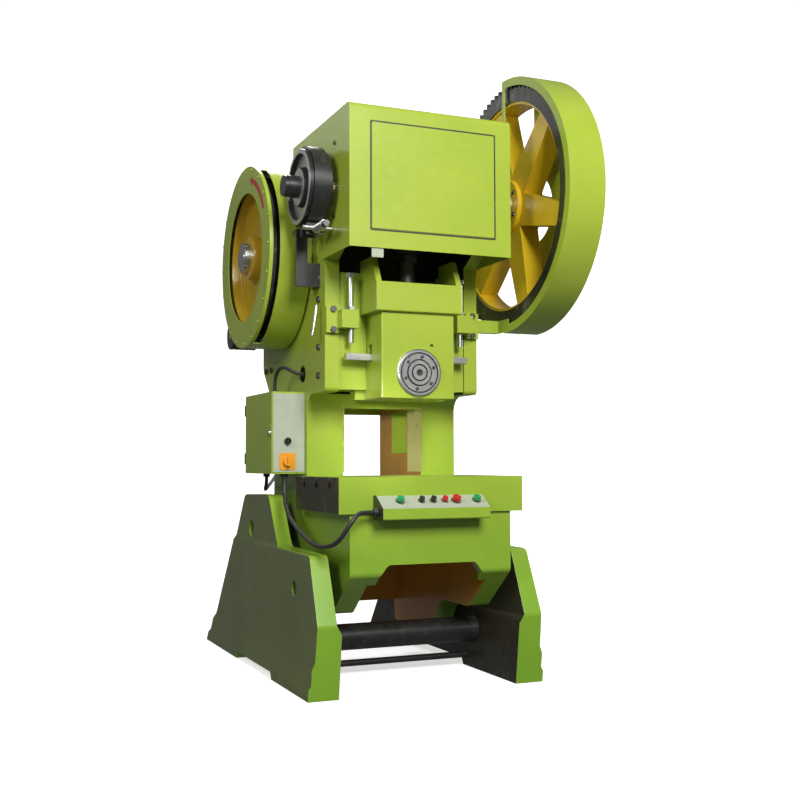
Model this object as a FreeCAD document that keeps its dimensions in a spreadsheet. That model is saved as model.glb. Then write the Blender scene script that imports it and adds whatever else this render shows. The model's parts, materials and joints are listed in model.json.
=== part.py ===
import FreeCAD, Part
import math
import os
from types import SimpleNamespace
from FreeCAD import Placement, Rotation, Vector

# Open-back inclinable eccentric press. A C-shaped frame hangs on two pivot pins between cast legs.
# The crankshaft in its head lowers the slide over the table; a spoked gear, a pinion shaft and a
# flywheel bring the power up from a motor behind the frame.
# Frame of the model: +X to the operator's right, +Y to the back, +Z up, origin on the floor midway
# between the legs. Lengths are in millimetres.

DIMENSIONS = [
    ("leg_inner", 384, "half the clear width between the feet"),
    ("leg_web_inner", 405, "inner face of the upper leg, from the middle"),
    ("leg_web_outer", 470, "outer face of the upper leg"),
    ("leg_foot_outer", 510, "outer edge of the foot"),
    ("leg_top", 766, "height of the legs"),
    ("pivot_back", 123, "pivot pin, behind the origin"),
    ("pivot_high", 604, "pivot pin height"),
    ("pivot_radius", 35, "pivot pin radius"),
    ("lock_back", -567, "clamp bolt, from the origin"),
    ("lock_high", 400, "clamp bolt height"),
    ("running_gap", 0.05, "radial clearance of a running fit"),
    ("frame_half", 350, "half the frame's width"),
    ("cheek_inner", 288, "inner face of the head's cheeks"),
    ("bed_inner", 260, "inner face of the bed's side walls"),
    ("column_inner", 185, "inner face of the uprights"),
    ("frame_bottom", 140, "lowest edge of the frame"),
    ("bed_bottom", 467, "lower edge of the bed's front wall"),
    ("bed_top", 708, "face that the table sits on"),
    ("bed_front", -856, "front of the bed"),
    ("throat_back", -330, "front of the uprights"),
    ("frame_back", 160, "back of the uprights"),
    ("head_bottom", 1200, "underside of the head"),
    ("cheek_front", -563, "front of the head's cheeks"),
    ("head_top", 2250, "top of the head"),
    ("table_half", 400, "half the table's width"),
    ("table_front", -870, "front edge of the table"),
    ("table_top", 850, "working height"),
    ("slot_neck", 22, "T-slot width"),
    ("slot_head", 38, "T-slot width at its foot"),
    ("centre_back", -600, "line of the slide and crankshaft, from the origin"),
    ("centre_hole", 100, "radius of the hole in the table"),
    ("crank_high", 2030, "crankshaft height"),
    ("throw", 50, "eccentricity of the crank pin, half the stroke"),
    ("journal", 60, "main journal radius"),
    ("crank_pin", 70, "crank pin radius"),
    ("bush_outer", 78, "outer radius of a crank bush"),
    ("shaft_back", -7, "back shaft, from the origin"),
    ("shaft_high", 1835, "back shaft height"),
    ("shaft_radius", 40, "back shaft radius"),
    ("shaft_bush", 55, "outer radius of a back shaft bush"),
    ("hood_half", 356, "half the hood's width"),
    ("hood_front", -870, "front of the hood"),
    ("hood_back", -140, "back edge of the hood"),
    ("hood_bottom", 1750, "lower edge of the hood"),
    ("hood_top", 2325, "top of the hood"),
    ("sheet_metal", 4, "thickness of hood and guards"),
    ("drum_radius", 154, "brake drum radius"),
    ("drum_left", -480, "outer face of the brake drum"),
    ("drum_right", -380, "inner face of the brake drum"),
    ("gear_module", 12, "tooth module of the gear pair"),
    ("gear_teeth", 88, "teeth on the spoked gear"),
    ("pinion_teeth", 16, "teeth on the pinion"),
    ("gear_left", 480, "near face of the gear"),
    ("gear_right", 600, "far face of the gear"),
    ("gear_guard_radius", 560, "outer radius of the gear guard"),
    ("gear_guard_left", 465, "near edge of the gear guard"),
    ("gear_guard_right", 632, "far face of the gear guard"),
    ("wheel_radius", 366, "flywheel radius"),
    ("belt_seat", 350, "radius of the belts' seat on the flywheel"),
    ("pulley_radius", 66, "motor pulley radius"),
    ("pulley_seat", 54, "radius of the belts' seat on the pulley"),
    ("belt_wide", 13, "belt width"),
    ("belt_thick", 11, "belt thickness"),
    ("belt_pitch", 26, "distance between belts"),
    ("belt_first", -505, "middle of the outermost belt"),
    ("belt_count", 4, "belts"),
    ("guard_radius", 410, "outer radius of the flywheel guard"),
    ("guard_left", -544, "outer face of the flywheel guard"),
    ("guard_right", -358, "inner edge of the flywheel guard"),
    ("guard_window", 290, "radius of the flywheel guard's opening"),
    ("motor_back", 313, "motor shaft, from the origin"),
    ("motor_high", 1515, "motor shaft height"),
    ("motor_radius", 112, "motor body radius"),
    ("slide_half", 164, "half the slide's width"),
    ("slide_wing", 205, "half width over the slide's guide wings"),
    ("slide_head", 192, "half the width of the slide's head"),
    ("slide_front", -725, "front face of the slide"),
    ("slide_rear", -430, "rear face of the slide"),
    ("slide_bottom", 1170, "underside of the slide at the top of its stroke"),
    ("slide_top", 1643, "top of the slide"),
    ("slide_shelf", 1522, "lower edge of the slide's head"),
    ("ball_high", 1530, "centre of the ball"),
    ("ball_radius", 45, "ball radius"),
    ("shank_radius", 25, "die shank bore radius"),
    ("bar_low", 1328, "underside of the knock-out bar"),
    ("bar_tall", 28, "height of the knock-out bar"),
    ("bar_half", 275, "half length of the knock-out bar"),
    ("bar_lift", 40, "travel of the knock-out bar"),
    ("box_left", -496, "open side of the control box"),
    ("box_front", -300, "front of the control box"),
    ("box_back", 120, "back of the control box"),
    ("box_bottom", 859, "underside of the control box"),
    ("box_top", 1212, "top of the control box"),
    ("console_left", -250, "left end of the button console"),
    ("console_right", 210, "right end of the button console"),
    ("hose_radius", 8, "radius of the cable hoses"),
    ("conduit_radius", 9, "radius of the console's conduit"),
]

doc = FreeCAD.newDocument("StampingPress")
sheet = doc.addObject("Spreadsheet::Sheet", "Sizes")
for row, (alias, value, meaning) in enumerate(DIMENSIONS, start=1):
    sheet.set("A%d" % row, meaning)
    sheet.set("B%d" % row, str(value))
    sheet.setAlias("B%d" % row, alias)
doc.recompute()
d = SimpleNamespace(**{alias: float(sheet.get(alias)) for alias, value, meaning in DIMENSIONS})
NODES = []


# ---------------------------------------------------------------- helpers

def cell(text):
    """Turns words such as 'table_top - 20' into an expression that reads the sheet."""
    names = sorted((alias for alias, value, meaning in DIMENSIONS), key=len, reverse=True)
    words = str(text).replace("(", " ( ").replace(")", " ) ").split(" ")
    return " ".join("Sizes." + w if w in names else w for w in words)


def node(shape_object, name):
    """Marks an object of the document as a finished sub-part."""
    shape_object.Label = name
    NODES.append(shape_object)
    return shape_object


def rounded_loop(points):
    """Closed outline through (u, v) points; a third number rounds that corner."""
    count = len(points)
    starts, ends, arcs = [], [], []
    for i, point in enumerate(points):
        here = Vector(point[0], point[1], 0)
        radius = point[2] if len(point) > 2 else 0
        before = Vector(points[i - 1][0], points[i - 1][1], 0) - here
        after = Vector(points[(i + 1) % count][0], points[(i + 1) % count][1], 0) - here
        before.normalize()
        after.normalize()
        if radius == 0:
            starts.append(here)
            ends.append(here)
            arcs.append(None)
            continue
        half = before.getAngle(after) / 2
        reach = radius / math.tan(half)
        middle = (before + after).normalize() * (radius / math.sin(half) - radius)
        starts.append(here + before * reach)
        ends.append(here + after * reach)
        arcs.append(Part.Arc(starts[-1], here + middle, ends[-1]))
    edges = []
    for i in range(count):
        if arcs[i]:
            edges.append(arcs[i])
        if (starts[(i + 1) % count] - ends[i]).Length > 1e-6:
            edges.append(Part.LineSegment(ends[i], starts[(i + 1) % count]))
    return edges


def sketch_on(body, role, offset, loops):
    """Sketch on one of the body's own origin planes. A loop of three numbers is a circle."""
    sketch = body.newObject("Sketcher::SketchObject", "Sketch")
    plane = [f for f in body.Origin.OriginFeatures if f.Role == role][0]
    sketch.AttachmentSupport = [(plane, "")]
    sketch.MapMode = "FlatFace"
    sketch.setExpression("AttachmentOffset.Base.z", cell(offset))
    for loop in loops:
        if isinstance(loop[0], (int, float)):
            circle = Part.Circle(Vector(loop[0], loop[1], 0), Vector(0, 0, 1), loop[2])
            sketch.addGeometry([circle], False)
        else:
            sketch.addGeometry(rounded_loop(loop), False)
    return sketch


def body_named(name):
    body = doc.addObject("PartDesign::Body", name)
    body.Label = name
    return body


def prism(body, role, low, high, loops, cut=False):
    """Pads (or pockets) a sketch between two places along the plane's axis."""
    along = "-1 * ( %s )" % high if role == "XZ_Plane" else low
    sketch = sketch_on(body, role, along, loops)
    before = body.Shape.Volume if body.Tip else 0
    feature = body.newObject("PartDesign::Pocket" if cut else "PartDesign::Pad", "Feature")
    feature.Profile = sketch
    feature.setExpression("Length", cell("( %s ) - ( %s )" % (high, low)))
    feature.Reversed = cut
    doc.recompute()
    gain = body.Shape.Volume - before
    if (gain >= 0) if cut else (gain <= 0):
        raise ValueError("%s: a feature changed nothing" % body.Label)
    return body


def turned(name, outline, back=0, high=0):
    """Revolves an (x, radius) outline about a line along X."""
    body = body_named(name)
    sketch = sketch_on(body, "XZ_Plane", "0", [outline])
    turn = body.newObject("PartDesign::Revolution", "Turn")
    turn.Profile = sketch
    turn.ReferenceAxis = (sketch, ["H_Axis"])
    turn.Angle = 360
    body.Placement = Placement(Vector(0, back, high), Rotation())
    return body


AXES = {"X": Rotation(Vector(0, 1, 0), 90), "Y": Rotation(Vector(1, 0, 0), -90), "Z": Rotation()}


def rod(radius, axis, low, high, centre):
    """Cylinder along an axis between two places; centre holds its other two coordinates."""
    shape = doc.addObject("Part::Cylinder", "Rod")
    shape.setExpression("Radius", cell(radius))
    shape.setExpression("Height", cell("( %s ) - ( %s )" % (high, low)))
    places = list(centre)
    places.insert("XYZ".index(axis), low)
    shape.Placement = Placement(Vector(0, 0, 0), AXES[axis])
    for letter, place in zip("xyz", places):
        shape.setExpression("Placement.Base." + letter, cell(place))
    return shape


def block(x, y, z):
    """Box between pairs of places along X, Y and Z."""
    shape = doc.addObject("Part::Box", "Block")
    for side, letter, pair in zip(("Length", "Width", "Height"), "xyz", (x, y, z)):
        shape.setExpression(side, cell("( %s ) - ( %s )" % (pair[1], pair[0])))
        shape.setExpression("Placement.Base." + letter, cell(pair[0]))
    return shape


def hexagon(across, axis, low, high, centre):
    """Hexagonal prism, as a nut or a bolt head."""
    shape = doc.addObject("Part::Prism", "Hexagon")
    shape.Polygon = 6
    shape.setExpression("Circumradius", cell("%s / %.6f" % (across, math.sqrt(3))))
    shape.setExpression("Height", cell("( %s ) - ( %s )" % (high, low)))
    places = list(centre)
    places.insert("XYZ".index(axis), low)
    shape.Placement = Placement(Vector(0, 0, 0), AXES[axis])
    for letter, place in zip("xyz", places):
        shape.setExpression("Placement.Base." + letter, cell(place))
    return shape


def fuse(shapes):
    joined = doc.addObject("Part::MultiFuse", "Joined")
    joined.Shapes = shapes
    joined.Refine = True
    return joined


def group(shapes):
    together = doc.addObject("Part::Compound", "Group")
    together.Links = shapes
    return together


def cut(base, tools):
    for tool in tools:
        result = doc.addObject("Part::Cut", "Cut")
        result.Base = base
        result.Tool = tool
        base = result
    return base


def common(first, second):
    shared = doc.addObject("Part::Common", "Common")
    shared.Base = first
    shared.Tool = second
    return shared


def both(make):
    """Makes a thing on the left and on the right."""
    return [make(-1), make(1)]


def ends(side, near, far):
    """Places of a piece between two distances from the middle, on one side of it."""
    if side > 0:
        return near, far
    return "-1 * ( %s )" % far, "-1 * ( %s )" % near


def sector(radius, low, high, start, sweep, back, high_up):
    """Wedge of a cylinder along X, from a start angle above +Y through a sweep, in degrees."""
    wedge = doc.addObject("Part::Cylinder", "Wedge")
    wedge.Radius = radius
    wedge.Angle = sweep
    wedge.setExpression("Height", cell("( %s ) - ( %s )" % (high, low)))
    turn = Rotation(Vector(1, 0, 0), start).multiply(Rotation(Vector(1, 1, 1), 120))
    wedge.Placement = Placement(Vector(0, 0, 0), turn)
    for letter, place in zip("xyz", (low, back, high_up)):
        wedge.setExpression("Placement.Base." + letter, cell(place))
    return wedge


# ---------------------------------------------------------------- stand

LEG_SIDE = [(-830, 0), (-870, 285, 40), (-755, 545, 30), (-298, 550, 60), (-154, d.leg_top, 40),
            (238, 760, 60), (830, 0), (230, 0), (215, 30, 12), (-325, 30, 12), (-340, 0)]


def leg_front(side):
    """Front outline of a leg: a moulded foot under a plain upright."""
    half = [(d.leg_inner, 0), (d.leg_foot_outer, 0), (d.leg_foot_outer, 45), (500, 62), (500, 122),
            (488, 150), (480, 540), (d.leg_web_outer, 562), (d.leg_web_outer, 800),
            (d.leg_web_inner, 800), (d.leg_web_inner, 285), (d.leg_inner, 250)]
    return [(side * x, z) for x, z in half]


def pivot_pin(side):
    middle = ("pivot_back", "pivot_high")
    return fuse([rod("pivot_radius", "X", *ends(side, "bed_inner", "leg_web_outer - 12"), middle),
                 rod("pivot_radius + 20", "X", *ends(side, "frame_half + 1", "leg_web_inner"), middle)])


def lock_bolt(side):
    """Clamp bolt: screwed through the leg, its flat end presses on the frame's side."""
    middle = ("lock_back", "lock_high")
    return fuse([rod("18", "X", *ends(side, "frame_half + 0.3", "leg_foot_outer - 52"), middle),
                 hexagon("46", "X", *ends(side, "leg_foot_outer - 54", "leg_foot_outer - 34"), middle)])


def leg_wells(side):
    """Round wells in a leg's outer face, over the ends of its pivot pin and clamp bolt."""
    return [rod("pivot_radius + 4", "X", *ends(side, "leg_web_outer - 14", "leg_foot_outer + 5"),
                ("pivot_back", "pivot_high")),
            rod("30", "X", *ends(side, "leg_foot_outer - 54", "leg_foot_outer + 5"),
                ("lock_back", "lock_high"))]


def make_stand():
    pins = node(group(both(pivot_pin)), "pivot_pins")
    bolts = node(group(both(lock_bolt)), "lock_bolts")
    for side, name in ((-1, "left_leg"), (1, "right_leg")):
        side_view = body_named(name + "_side")
        prism(side_view, "YZ_Plane", *ends(side, "leg_inner", "leg_foot_outer"), [LEG_SIDE])
        front_view = body_named(name + "_front")
        prism(front_view, "XZ_Plane", "-900", "900", [leg_front(side)])
        node(cut(common(side_view, front_view), [pins, bolts] + leg_wells(side)), name)
    bars = [rod("55", "X", "-1 * leg_inner", "leg_inner", ("-450", "175")),
            rod("14", "X", "-1 * leg_inner", "leg_inner", ("-370", "50"))]
    node(group(bars), "tie_bars")


# ---------------------------------------------------------------- frame

LOWER_EDGE = [(d.bed_front, d.bed_bottom, 30), (-650, 300, 60), (-380, 300, 40),
              (-250, d.frame_bottom, 40), (d.frame_back, d.frame_bottom, 40)]
CHEEK_SIDE = LOWER_EDGE + [
    (d.frame_back, 1150, 60), (350, 1350, 60), (350, 1800, 60), (200, 2000, 60), (-140, 2060, 60),
    (-300, d.head_top, 60), (-720, d.head_top, 30), (-745, 2200, 20), (-745, 1850, 20),
    (d.cheek_front, d.hood_bottom), (d.cheek_front, d.head_bottom, 20),
    (d.throat_back, d.head_bottom, 70), (d.throat_back, d.bed_top), (d.bed_front, d.bed_top)]
HEAD_HOLLOW = [(-900, d.head_bottom), (-250, d.head_bottom), (-250, 2200), (-190, 2200),
               (-190, 1260, 20), (400, 1260), (400, 2300), (-900, 2300)]
UPRIGHT_GAP = [(d.throat_back - 1, d.bed_top), (d.frame_back + 1, d.bed_top),
               (d.frame_back + 1, d.head_bottom), (d.throat_back - 1, d.head_bottom)]
BED_HOLLOW = [(-806, 640, 20), (100, 640, 20), (100, 100), (-806, 100)]
ARCH = [(-225, 400), (-225, 460, 20), (-190, 507, 30), (190, 507, 30), (225, 460, 20), (225, 400)]
CRANK = ("centre_back", "crank_high")
BACK_SHAFT = ("shaft_back", "shaft_high")
GIB_BOLT_HIGHS = (1270, 1390, 1590, 1680)


def bush(radius, bore, side, middle):
    outer = rod(radius, "X", *ends(side, "cheek_inner - 38", "frame_half"), middle)
    return cut(outer, [rod(bore, "X", *ends(side, "cheek_inner - 40", "frame_half + 2"), middle)])


def side_bolt(side, back, high, reach):
    """Hexagon bolt through a cheek from outside, into what it holds inside."""
    middle = (str(back), str(high))
    return fuse([rod("8", "X", *ends(side, reach, "frame_half + 2"), middle),
                 hexagon("24", "X", *ends(side, "frame_half", "frame_half + 10"), middle)])


def front_bolt(x, high, front, deep):
    """Hexagon bolt along Y, head at the front."""
    middle = (str(x), str(high))
    return fuse([rod("8", "Y", "%s - 2" % front, "%s + %s" % (front, deep), middle),
                 hexagon("24", "Y", "%s - 10" % front, front, middle)])


def frame_bolts():
    """Hexagon bolts of the gibs, stop brackets, motor bracket and brake bracket."""
    bolts = []
    for side in (-1, 1):
        for high in GIB_BOLT_HIGHS:
            bolts.append(side_bolt(side, -490, high, "cheek_inner - 30"))
        for high in (1456, 1541):
            bolts.append(front_bolt(side * 320, high, "cheek_front - 18", 60))
        for back in (200, 285):
            bolts.append(side_bolt(side, back, 1345, "cheek_inner - 14"))
    for high in ("1662", "1718"):
        shank = rod("8", "X", "-1 * frame_half - 12", "-1 * frame_half + 40", ("-440", high))
        head = hexagon("24", "X", "-1 * frame_half - 20", "-1 * frame_half - 10", ("-440", high))
        bolts.append(fuse([shank, head]))
    return bolts


def table_bolts():
    """Socket screws sunk in the table's top, down into the bed."""
    screws = []
    for x in (-330, 330):
        for back in (-820, -380):
            place = (str(x), str(back))
            screws.append(fuse([rod("10", "Z", "bed_top - 50", "table_top - 40", place),
                                rod("16", "Z", "table_top - 40", "table_top - 18", place)]))
    return screws


def hood_screws():
    """Small button-head screws that hold the hood to the cheeks."""
    screws = []
    for side in (-1, 1):
        for back, high in ((-700, 1900), (-700, 2200), (-330, 2200), (-330, 1960)):
            middle = (str(back), str(high))
            screws.append(fuse([rod("4", "X", *ends(side, "frame_half - 20", "hood_half + 1"), middle),
                                rod("9", "X", *ends(side, "hood_half", "hood_half + 5"), middle)]))
    return screws


def brake_bolt():
    """Long bolt that pulls the ends of the brake band together through a spring."""
    middle = ("-430", "1845")
    return fuse([rod("7", "Y", "-800", "-560", middle), hexagon("24", "Y", "-812", "-798", middle),
                 hexagon("24", "Y", "-580", "-568", middle)])


def make_c_frame(fasteners):
    casting = body_named("frame_casting")
    prism(casting, "YZ_Plane", "-1 * frame_half", "frame_half", [CHEEK_SIDE])
    prism(casting, "YZ_Plane", "-1 * cheek_inner", "cheek_inner", [HEAD_HOLLOW], cut=True)
    prism(casting, "YZ_Plane", "-1 * column_inner", "column_inner", [UPRIGHT_GAP], cut=True)
    prism(casting, "YZ_Plane", "-1 * bed_inner", "bed_inner", [BED_HOLLOW], cut=True)
    prism(casting, "XZ_Plane", "bed_front - 1", "-805", [ARCH], cut=True)
    prism(casting, "XZ_Plane", "99", "frame_back + 1", [[(-260, 139), (260, 139), (260, 250), (-260, 250)]],
          cut=True)
    for side in (-1, 1):
        for back, high, radius in ((d.centre_back, d.crank_high, 115), (d.shaft_back, d.shaft_high, 85)):
            prism(casting, "YZ_Plane", *ends(side, "cheek_inner - 38", "cheek_inner"),
                  [(back, high, radius)])
    through = ("-400", "400")
    tools = [block(through, ("-170", "10"), ("950", "1144")),
             rod("bush_outer", "X", *through, CRANK), rod("shaft_bush", "X", *through, BACK_SHAFT),
             rod("pivot_radius + running_gap", "X", *through, ("pivot_back", "pivot_high")),
             rod("39", "X", *through, ("-268", "1291")),
             rod("30", "X", "-400", "-280", ("motor_back", "motor_high")),
             rod("centre_hole + 10", "Z", "bed_top - 80", "bed_top + 10", ("0", "centre_back")),
             fasteners]
    node(cut(casting, tools), "c_frame")


def make_table(fasteners):
    table = body_named("table_blank")
    deep = d.table_top - 46
    prism(table, "XY_Plane", "bed_top", "table_top",
          [[(-d.table_half, d.table_front), (d.table_half, d.table_front),
            (d.table_half, d.throat_back), (-d.table_half, d.throat_back)],
           (0, d.centre_back, d.centre_hole)])
    for back in (-760, d.centre_back, -440):
        neck, foot = d.slot_neck / 2, d.slot_head / 2
        slot = [(back - neck, d.table_top + 1), (back - neck, deep + 18), (back - foot, deep + 18),
                (back - foot, deep), (back + foot, deep), (back + foot, deep + 18),
                (back + neck, deep + 18), (back + neck, d.table_top + 1)]
        prism(table, "YZ_Plane", "-1 * table_half - 1", "table_half + 1", [slot], cut=True)
    wells = [rod("16", "Z", "table_top - 20", "table_top + 1", (str(x), str(back)))
             for x in (-330, 330) for back in (-820, -380)]
    node(cut(table, [fasteners, group(wells)]), "table")


def make_bushes():
    rings = [bush("bush_outer", "journal + running_gap", side, CRANK) for side in (-1, 1)]
    rings += [bush("shaft_bush", "shaft_radius + running_gap", side, BACK_SHAFT) for side in (-1, 1)]
    node(group(rings), "bearing_bushes")


def make_gibs(fasteners):
    """Grooved guide blocks on the cheeks, each side of the slide."""
    blocks = []
    for side in (-1, 1):
        gib = block(ends(side, "slide_half + 0.5", "cheek_inner"), ("-556", "-420"), ("1210", "1700"))
        groove = block(ends(side, "slide_half", "slide_wing + 0.5"), ("-530.5", "-469.5"), ("1209", "1701"))
        blocks.append(cut(gib, [groove, fasteners]))
    node(group(blocks), "gibs")


def make_hood(fasteners):
    outline = [(d.hood_front, d.hood_bottom), (-545, d.hood_bottom), (d.hood_back, 1900),
               (d.hood_back, d.hood_top), (d.hood_front, d.hood_top, 24)]
    t = d.sheet_metal
    hollow = [(d.hood_front + t, d.hood_bottom - 50), (d.hood_back + 50, d.hood_bottom - 50),
              (d.hood_back + 50, d.hood_top - t), (d.hood_front + t, d.hood_top - t, 20)]
    shell = body_named("hood_shell")
    prism(shell, "YZ_Plane", "-1 * hood_half", "hood_half", [outline])
    prism(shell, "YZ_Plane", "-1 * hood_half + sheet_metal", "hood_half - sheet_metal", [hollow], cut=True)
    holes = [rod("95", "X", "-1 * hood_half - 5", "0", CRANK), rod("110", "X", "0", "hood_half + 5", CRANK)]
    node(cut(shell, holes + [fasteners]), "hood")


# ---------------------------------------------------------------- crank, rod and slide

def make_crankshaft():
    pieces = [rod("journal", "X", *ends(side, "245", "352"), CRANK) for side in (-1, 1)]
    pieces += [rod("125", "X", *ends(side, "155", "245"), ("centre_back", "crank_high + 12"))
               for side in (-1, 1)]
    pieces += [rod("crank_pin", "X", "-155", "155", ("centre_back", "crank_high + throw")),
               rod("52", "X", "-378", "-352", CRANK), rod("45", "X", "-530", "-378", CRANK),
               rod("42", "X", "-544", "-530", CRANK), rod("75", "X", "352", "468", CRANK),
               rod("55", "X", "468", "640", CRANK)]
    node(fuse(pieces), "crankshaft")
    drum = turned("brake_drum", [(d.drum_left, 45), (d.drum_left, 75, 3), (d.drum_left + 22, 84),
                                 (d.drum_left + 22, d.drum_radius - 22), (d.drum_left, d.drum_radius - 18),
                                 (d.drum_left, d.drum_radius, 4), (d.drum_right, d.drum_radius, 4),
                                 (d.drum_right, d.drum_radius - 18), (d.drum_right - 35, d.drum_radius - 22),
                                 (d.drum_right - 35, 80), (d.drum_right, 75), (d.drum_right, 45)],
                  d.centre_back, d.crank_high)
    node(drum, "brake_drum")
    collar = rod("90", "X", "612", "622", CRANK)
    node(cut(collar, [rod("55", "X", "600", "630", CRANK)]), "shaft_collar")


def make_connecting_rod():
    pin = ("centre_back", "crank_high + throw")
    bore = rod("crank_pin + running_gap", "X", "-110", "110", pin)
    bolts = []
    for back in (-108, 108):
        place = ("0", "centre_back + %d" % back)
        bolts.append(fuse([rod("11", "Z", "crank_high + throw - 40", "crank_high + throw + 50", place),
                           hexagon("32", "Z", "crank_high + throw + 45", "crank_high + throw + 60", place)]))
    bolts = node(group(bolts), "rod_bolts")
    rear, ahead = "centre_back + 130", "centre_back - 130"
    screw = fuse([rod("40", "Z", "ball_high + 25", "1890", ("0", "centre_back")),
                  hexagon("96", "Z", "1745", "1776", ("0", "centre_back")), ball()])
    screw = node(screw, "ball_screw")
    lower = common(rod("108", "X", "-98", "98", pin),
                   block(("-98", "98"), (ahead, rear), ("1900", "crank_high + throw")))
    lug = block(("-45", "45"), (ahead, rear), ("crank_high + throw - 45", "crank_high + throw"))
    stem = rod("62", "Z", "1780", "crank_high + throw - 60", ("0", "centre_back"))
    node(cut(fuse([lower, lug, stem]), [bore, bolts, screw]), "connecting_rod")
    upper = common(rod("108", "X", "-98", "98", pin),
                   block(("-98", "98"), (ahead, rear), ("crank_high + throw", "2200")))
    upper_lug = block(("-45", "45"), (ahead, rear), ("crank_high + throw", "crank_high + throw + 45"))
    node(cut(fuse([upper, upper_lug]), [bore, bolts]), "rod_cap")


def ball():
    shape = doc.addObject("Part::Sphere", "Ball")
    shape.setExpression("Radius", cell("ball_radius"))
    for letter, place in zip("xyz", ("0", "centre_back", "ball_high")):
        shape.setExpression("Placement.Base." + letter, cell(place))
    return shape


def make_slide():
    slide = body_named("slide_casting")
    half, wing = d.slide_half, d.slide_wing
    section = [(-half, d.slide_front, 8), (half, d.slide_front, 8), (half, -530), (wing, -530),
               (wing, -470), (half, -470), (half, d.slide_rear), (-half, d.slide_rear), (-half, -470),
               (-wing, -470), (-wing, -530), (-half, -530)]
    prism(slide, "XY_Plane", "slide_bottom", "slide_top", [section])
    head = [(-743, d.slide_shelf, 6), (-560, d.slide_shelf), (-560, d.slide_top), (-743, d.slide_top, 6)]
    prism(slide, "YZ_Plane", "-1 * slide_head", "slide_head", [head])
    ear = [(-743, d.slide_top - 10), (-686, 1750), (-560, 1750), (-560, d.slide_top - 10)]
    for side in (-1, 1):
        prism(slide, "YZ_Plane", *ends(side, "slide_head - 24", "slide_head"), [ear])
    prism(slide, "XY_Plane", "slide_top - 173", "slide_top + 1",
          [[(-75, -698, 20), (75, -698, 20), (75, -502, 20), (-75, -502, 20)]], cut=True)
    place = ("0", "centre_back")
    tools = [block(("-300", "300"), ("-619", "-581"), ("bar_low", "bar_low + bar_tall + bar_lift + 1")),
             rod("shank_radius", "Z", "slide_bottom - 1", "slide_bottom + 80", place),
             rod("12", "Z", "slide_bottom + 70", "bar_low + 5", place),
             rod("8", "Y", "slide_front - 1", "slide_front + 15", ("60", "1387"))]
    node(cut(slide, tools), "slide")
    node(rod("98", "Y", "slide_front - 10", "slide_front", ("0", "1274")), "round_cover")
    node(block(("-1 * bar_half", "bar_half"), ("-618", "-582"), ("bar_low", "bar_low + bar_tall")),
         "knockout_bar")


def make_stops(fasteners):
    brackets, screws = [], []
    for side in (-1, 1):
        place = (str(side * 250), "centre_back")
        screw = fuse([rod("12", "Z", "1400", "1672", place), hexagon("36", "Z", "1672", "1690", place),
                      hexagon("36", "Z", "1535", "1550", place)])
        screws.append(screw)
        plate = block(ends(side, "290", "frame_half"), ("cheek_front - 18", "cheek_front"), ("1442", "1553"))
        boss = block(ends(side, "225", "300"), ("-630", "cheek_front"), ("1460", "1535"))
        brackets.append(cut(fuse([plate, boss]), [screw, fasteners]))
    node(group(brackets), "stop_brackets")
    node(group(screws), "stop_screws")


# ---------------------------------------------------------------- drive

def involute(base, radius):
    """Angle of an involute's point at a radius, from where it leaves the base circle."""
    if radius <= base:
        return 0
    lean = math.acos(base / radius)
    return math.tan(lean) - lean


def gear_wire(teeth, turn, x, thinning):
    """Tooth outline of a 20 degree involute gear in a plane across X, a tooth centred on turn."""
    pitch = d.gear_module * teeth / 2
    base = pitch * math.cos(math.radians(20))
    tip, root = pitch + 0.9 * d.gear_module, pitch - 1.2 * d.gear_module
    half = math.pi / (2 * teeth) - thinning / (2 * pitch) + involute(base, pitch)
    flank = [root, max(root + 1, base), (max(root, base) + pitch) / 2, pitch, (pitch + tip) / 2, tip]
    points = []
    for tooth in range(teeth):
        middle = turn + 2 * math.pi * tooth / teeth
        rising = [(radius, middle - half + involute(base, radius)) for radius in flank]
        falling = [(radius, 2 * middle - angle) for radius, angle in reversed(rising)]
        points += rising + falling
    corners = [Vector(x, r * math.cos(a), r * math.sin(a)) for r, a in points]
    return Part.makePolygon(corners + [corners[0]])


def toothed(teeth, turn, low, high):
    return Part.Face(gear_wire(teeth, turn, low, 1.0)).extrude(Vector(high - low, 0, 0))


def tube_shape(outer, inner, low, high):
    start, along = Vector(low, 0, 0), Vector(1, 0, 0)
    ring = Part.makeCylinder(outer, high - low, start, along)
    return ring.cut(Part.makeCylinder(inner, high - low, start, along)) if inner else ring


def shape_node(shape, name, back=0, high=0):
    feature = doc.addObject("Part::Feature", name)
    feature.Shape = shape
    feature.Placement = Placement(Vector(0, back, high), Rotation())
    return node(feature, name)


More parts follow.
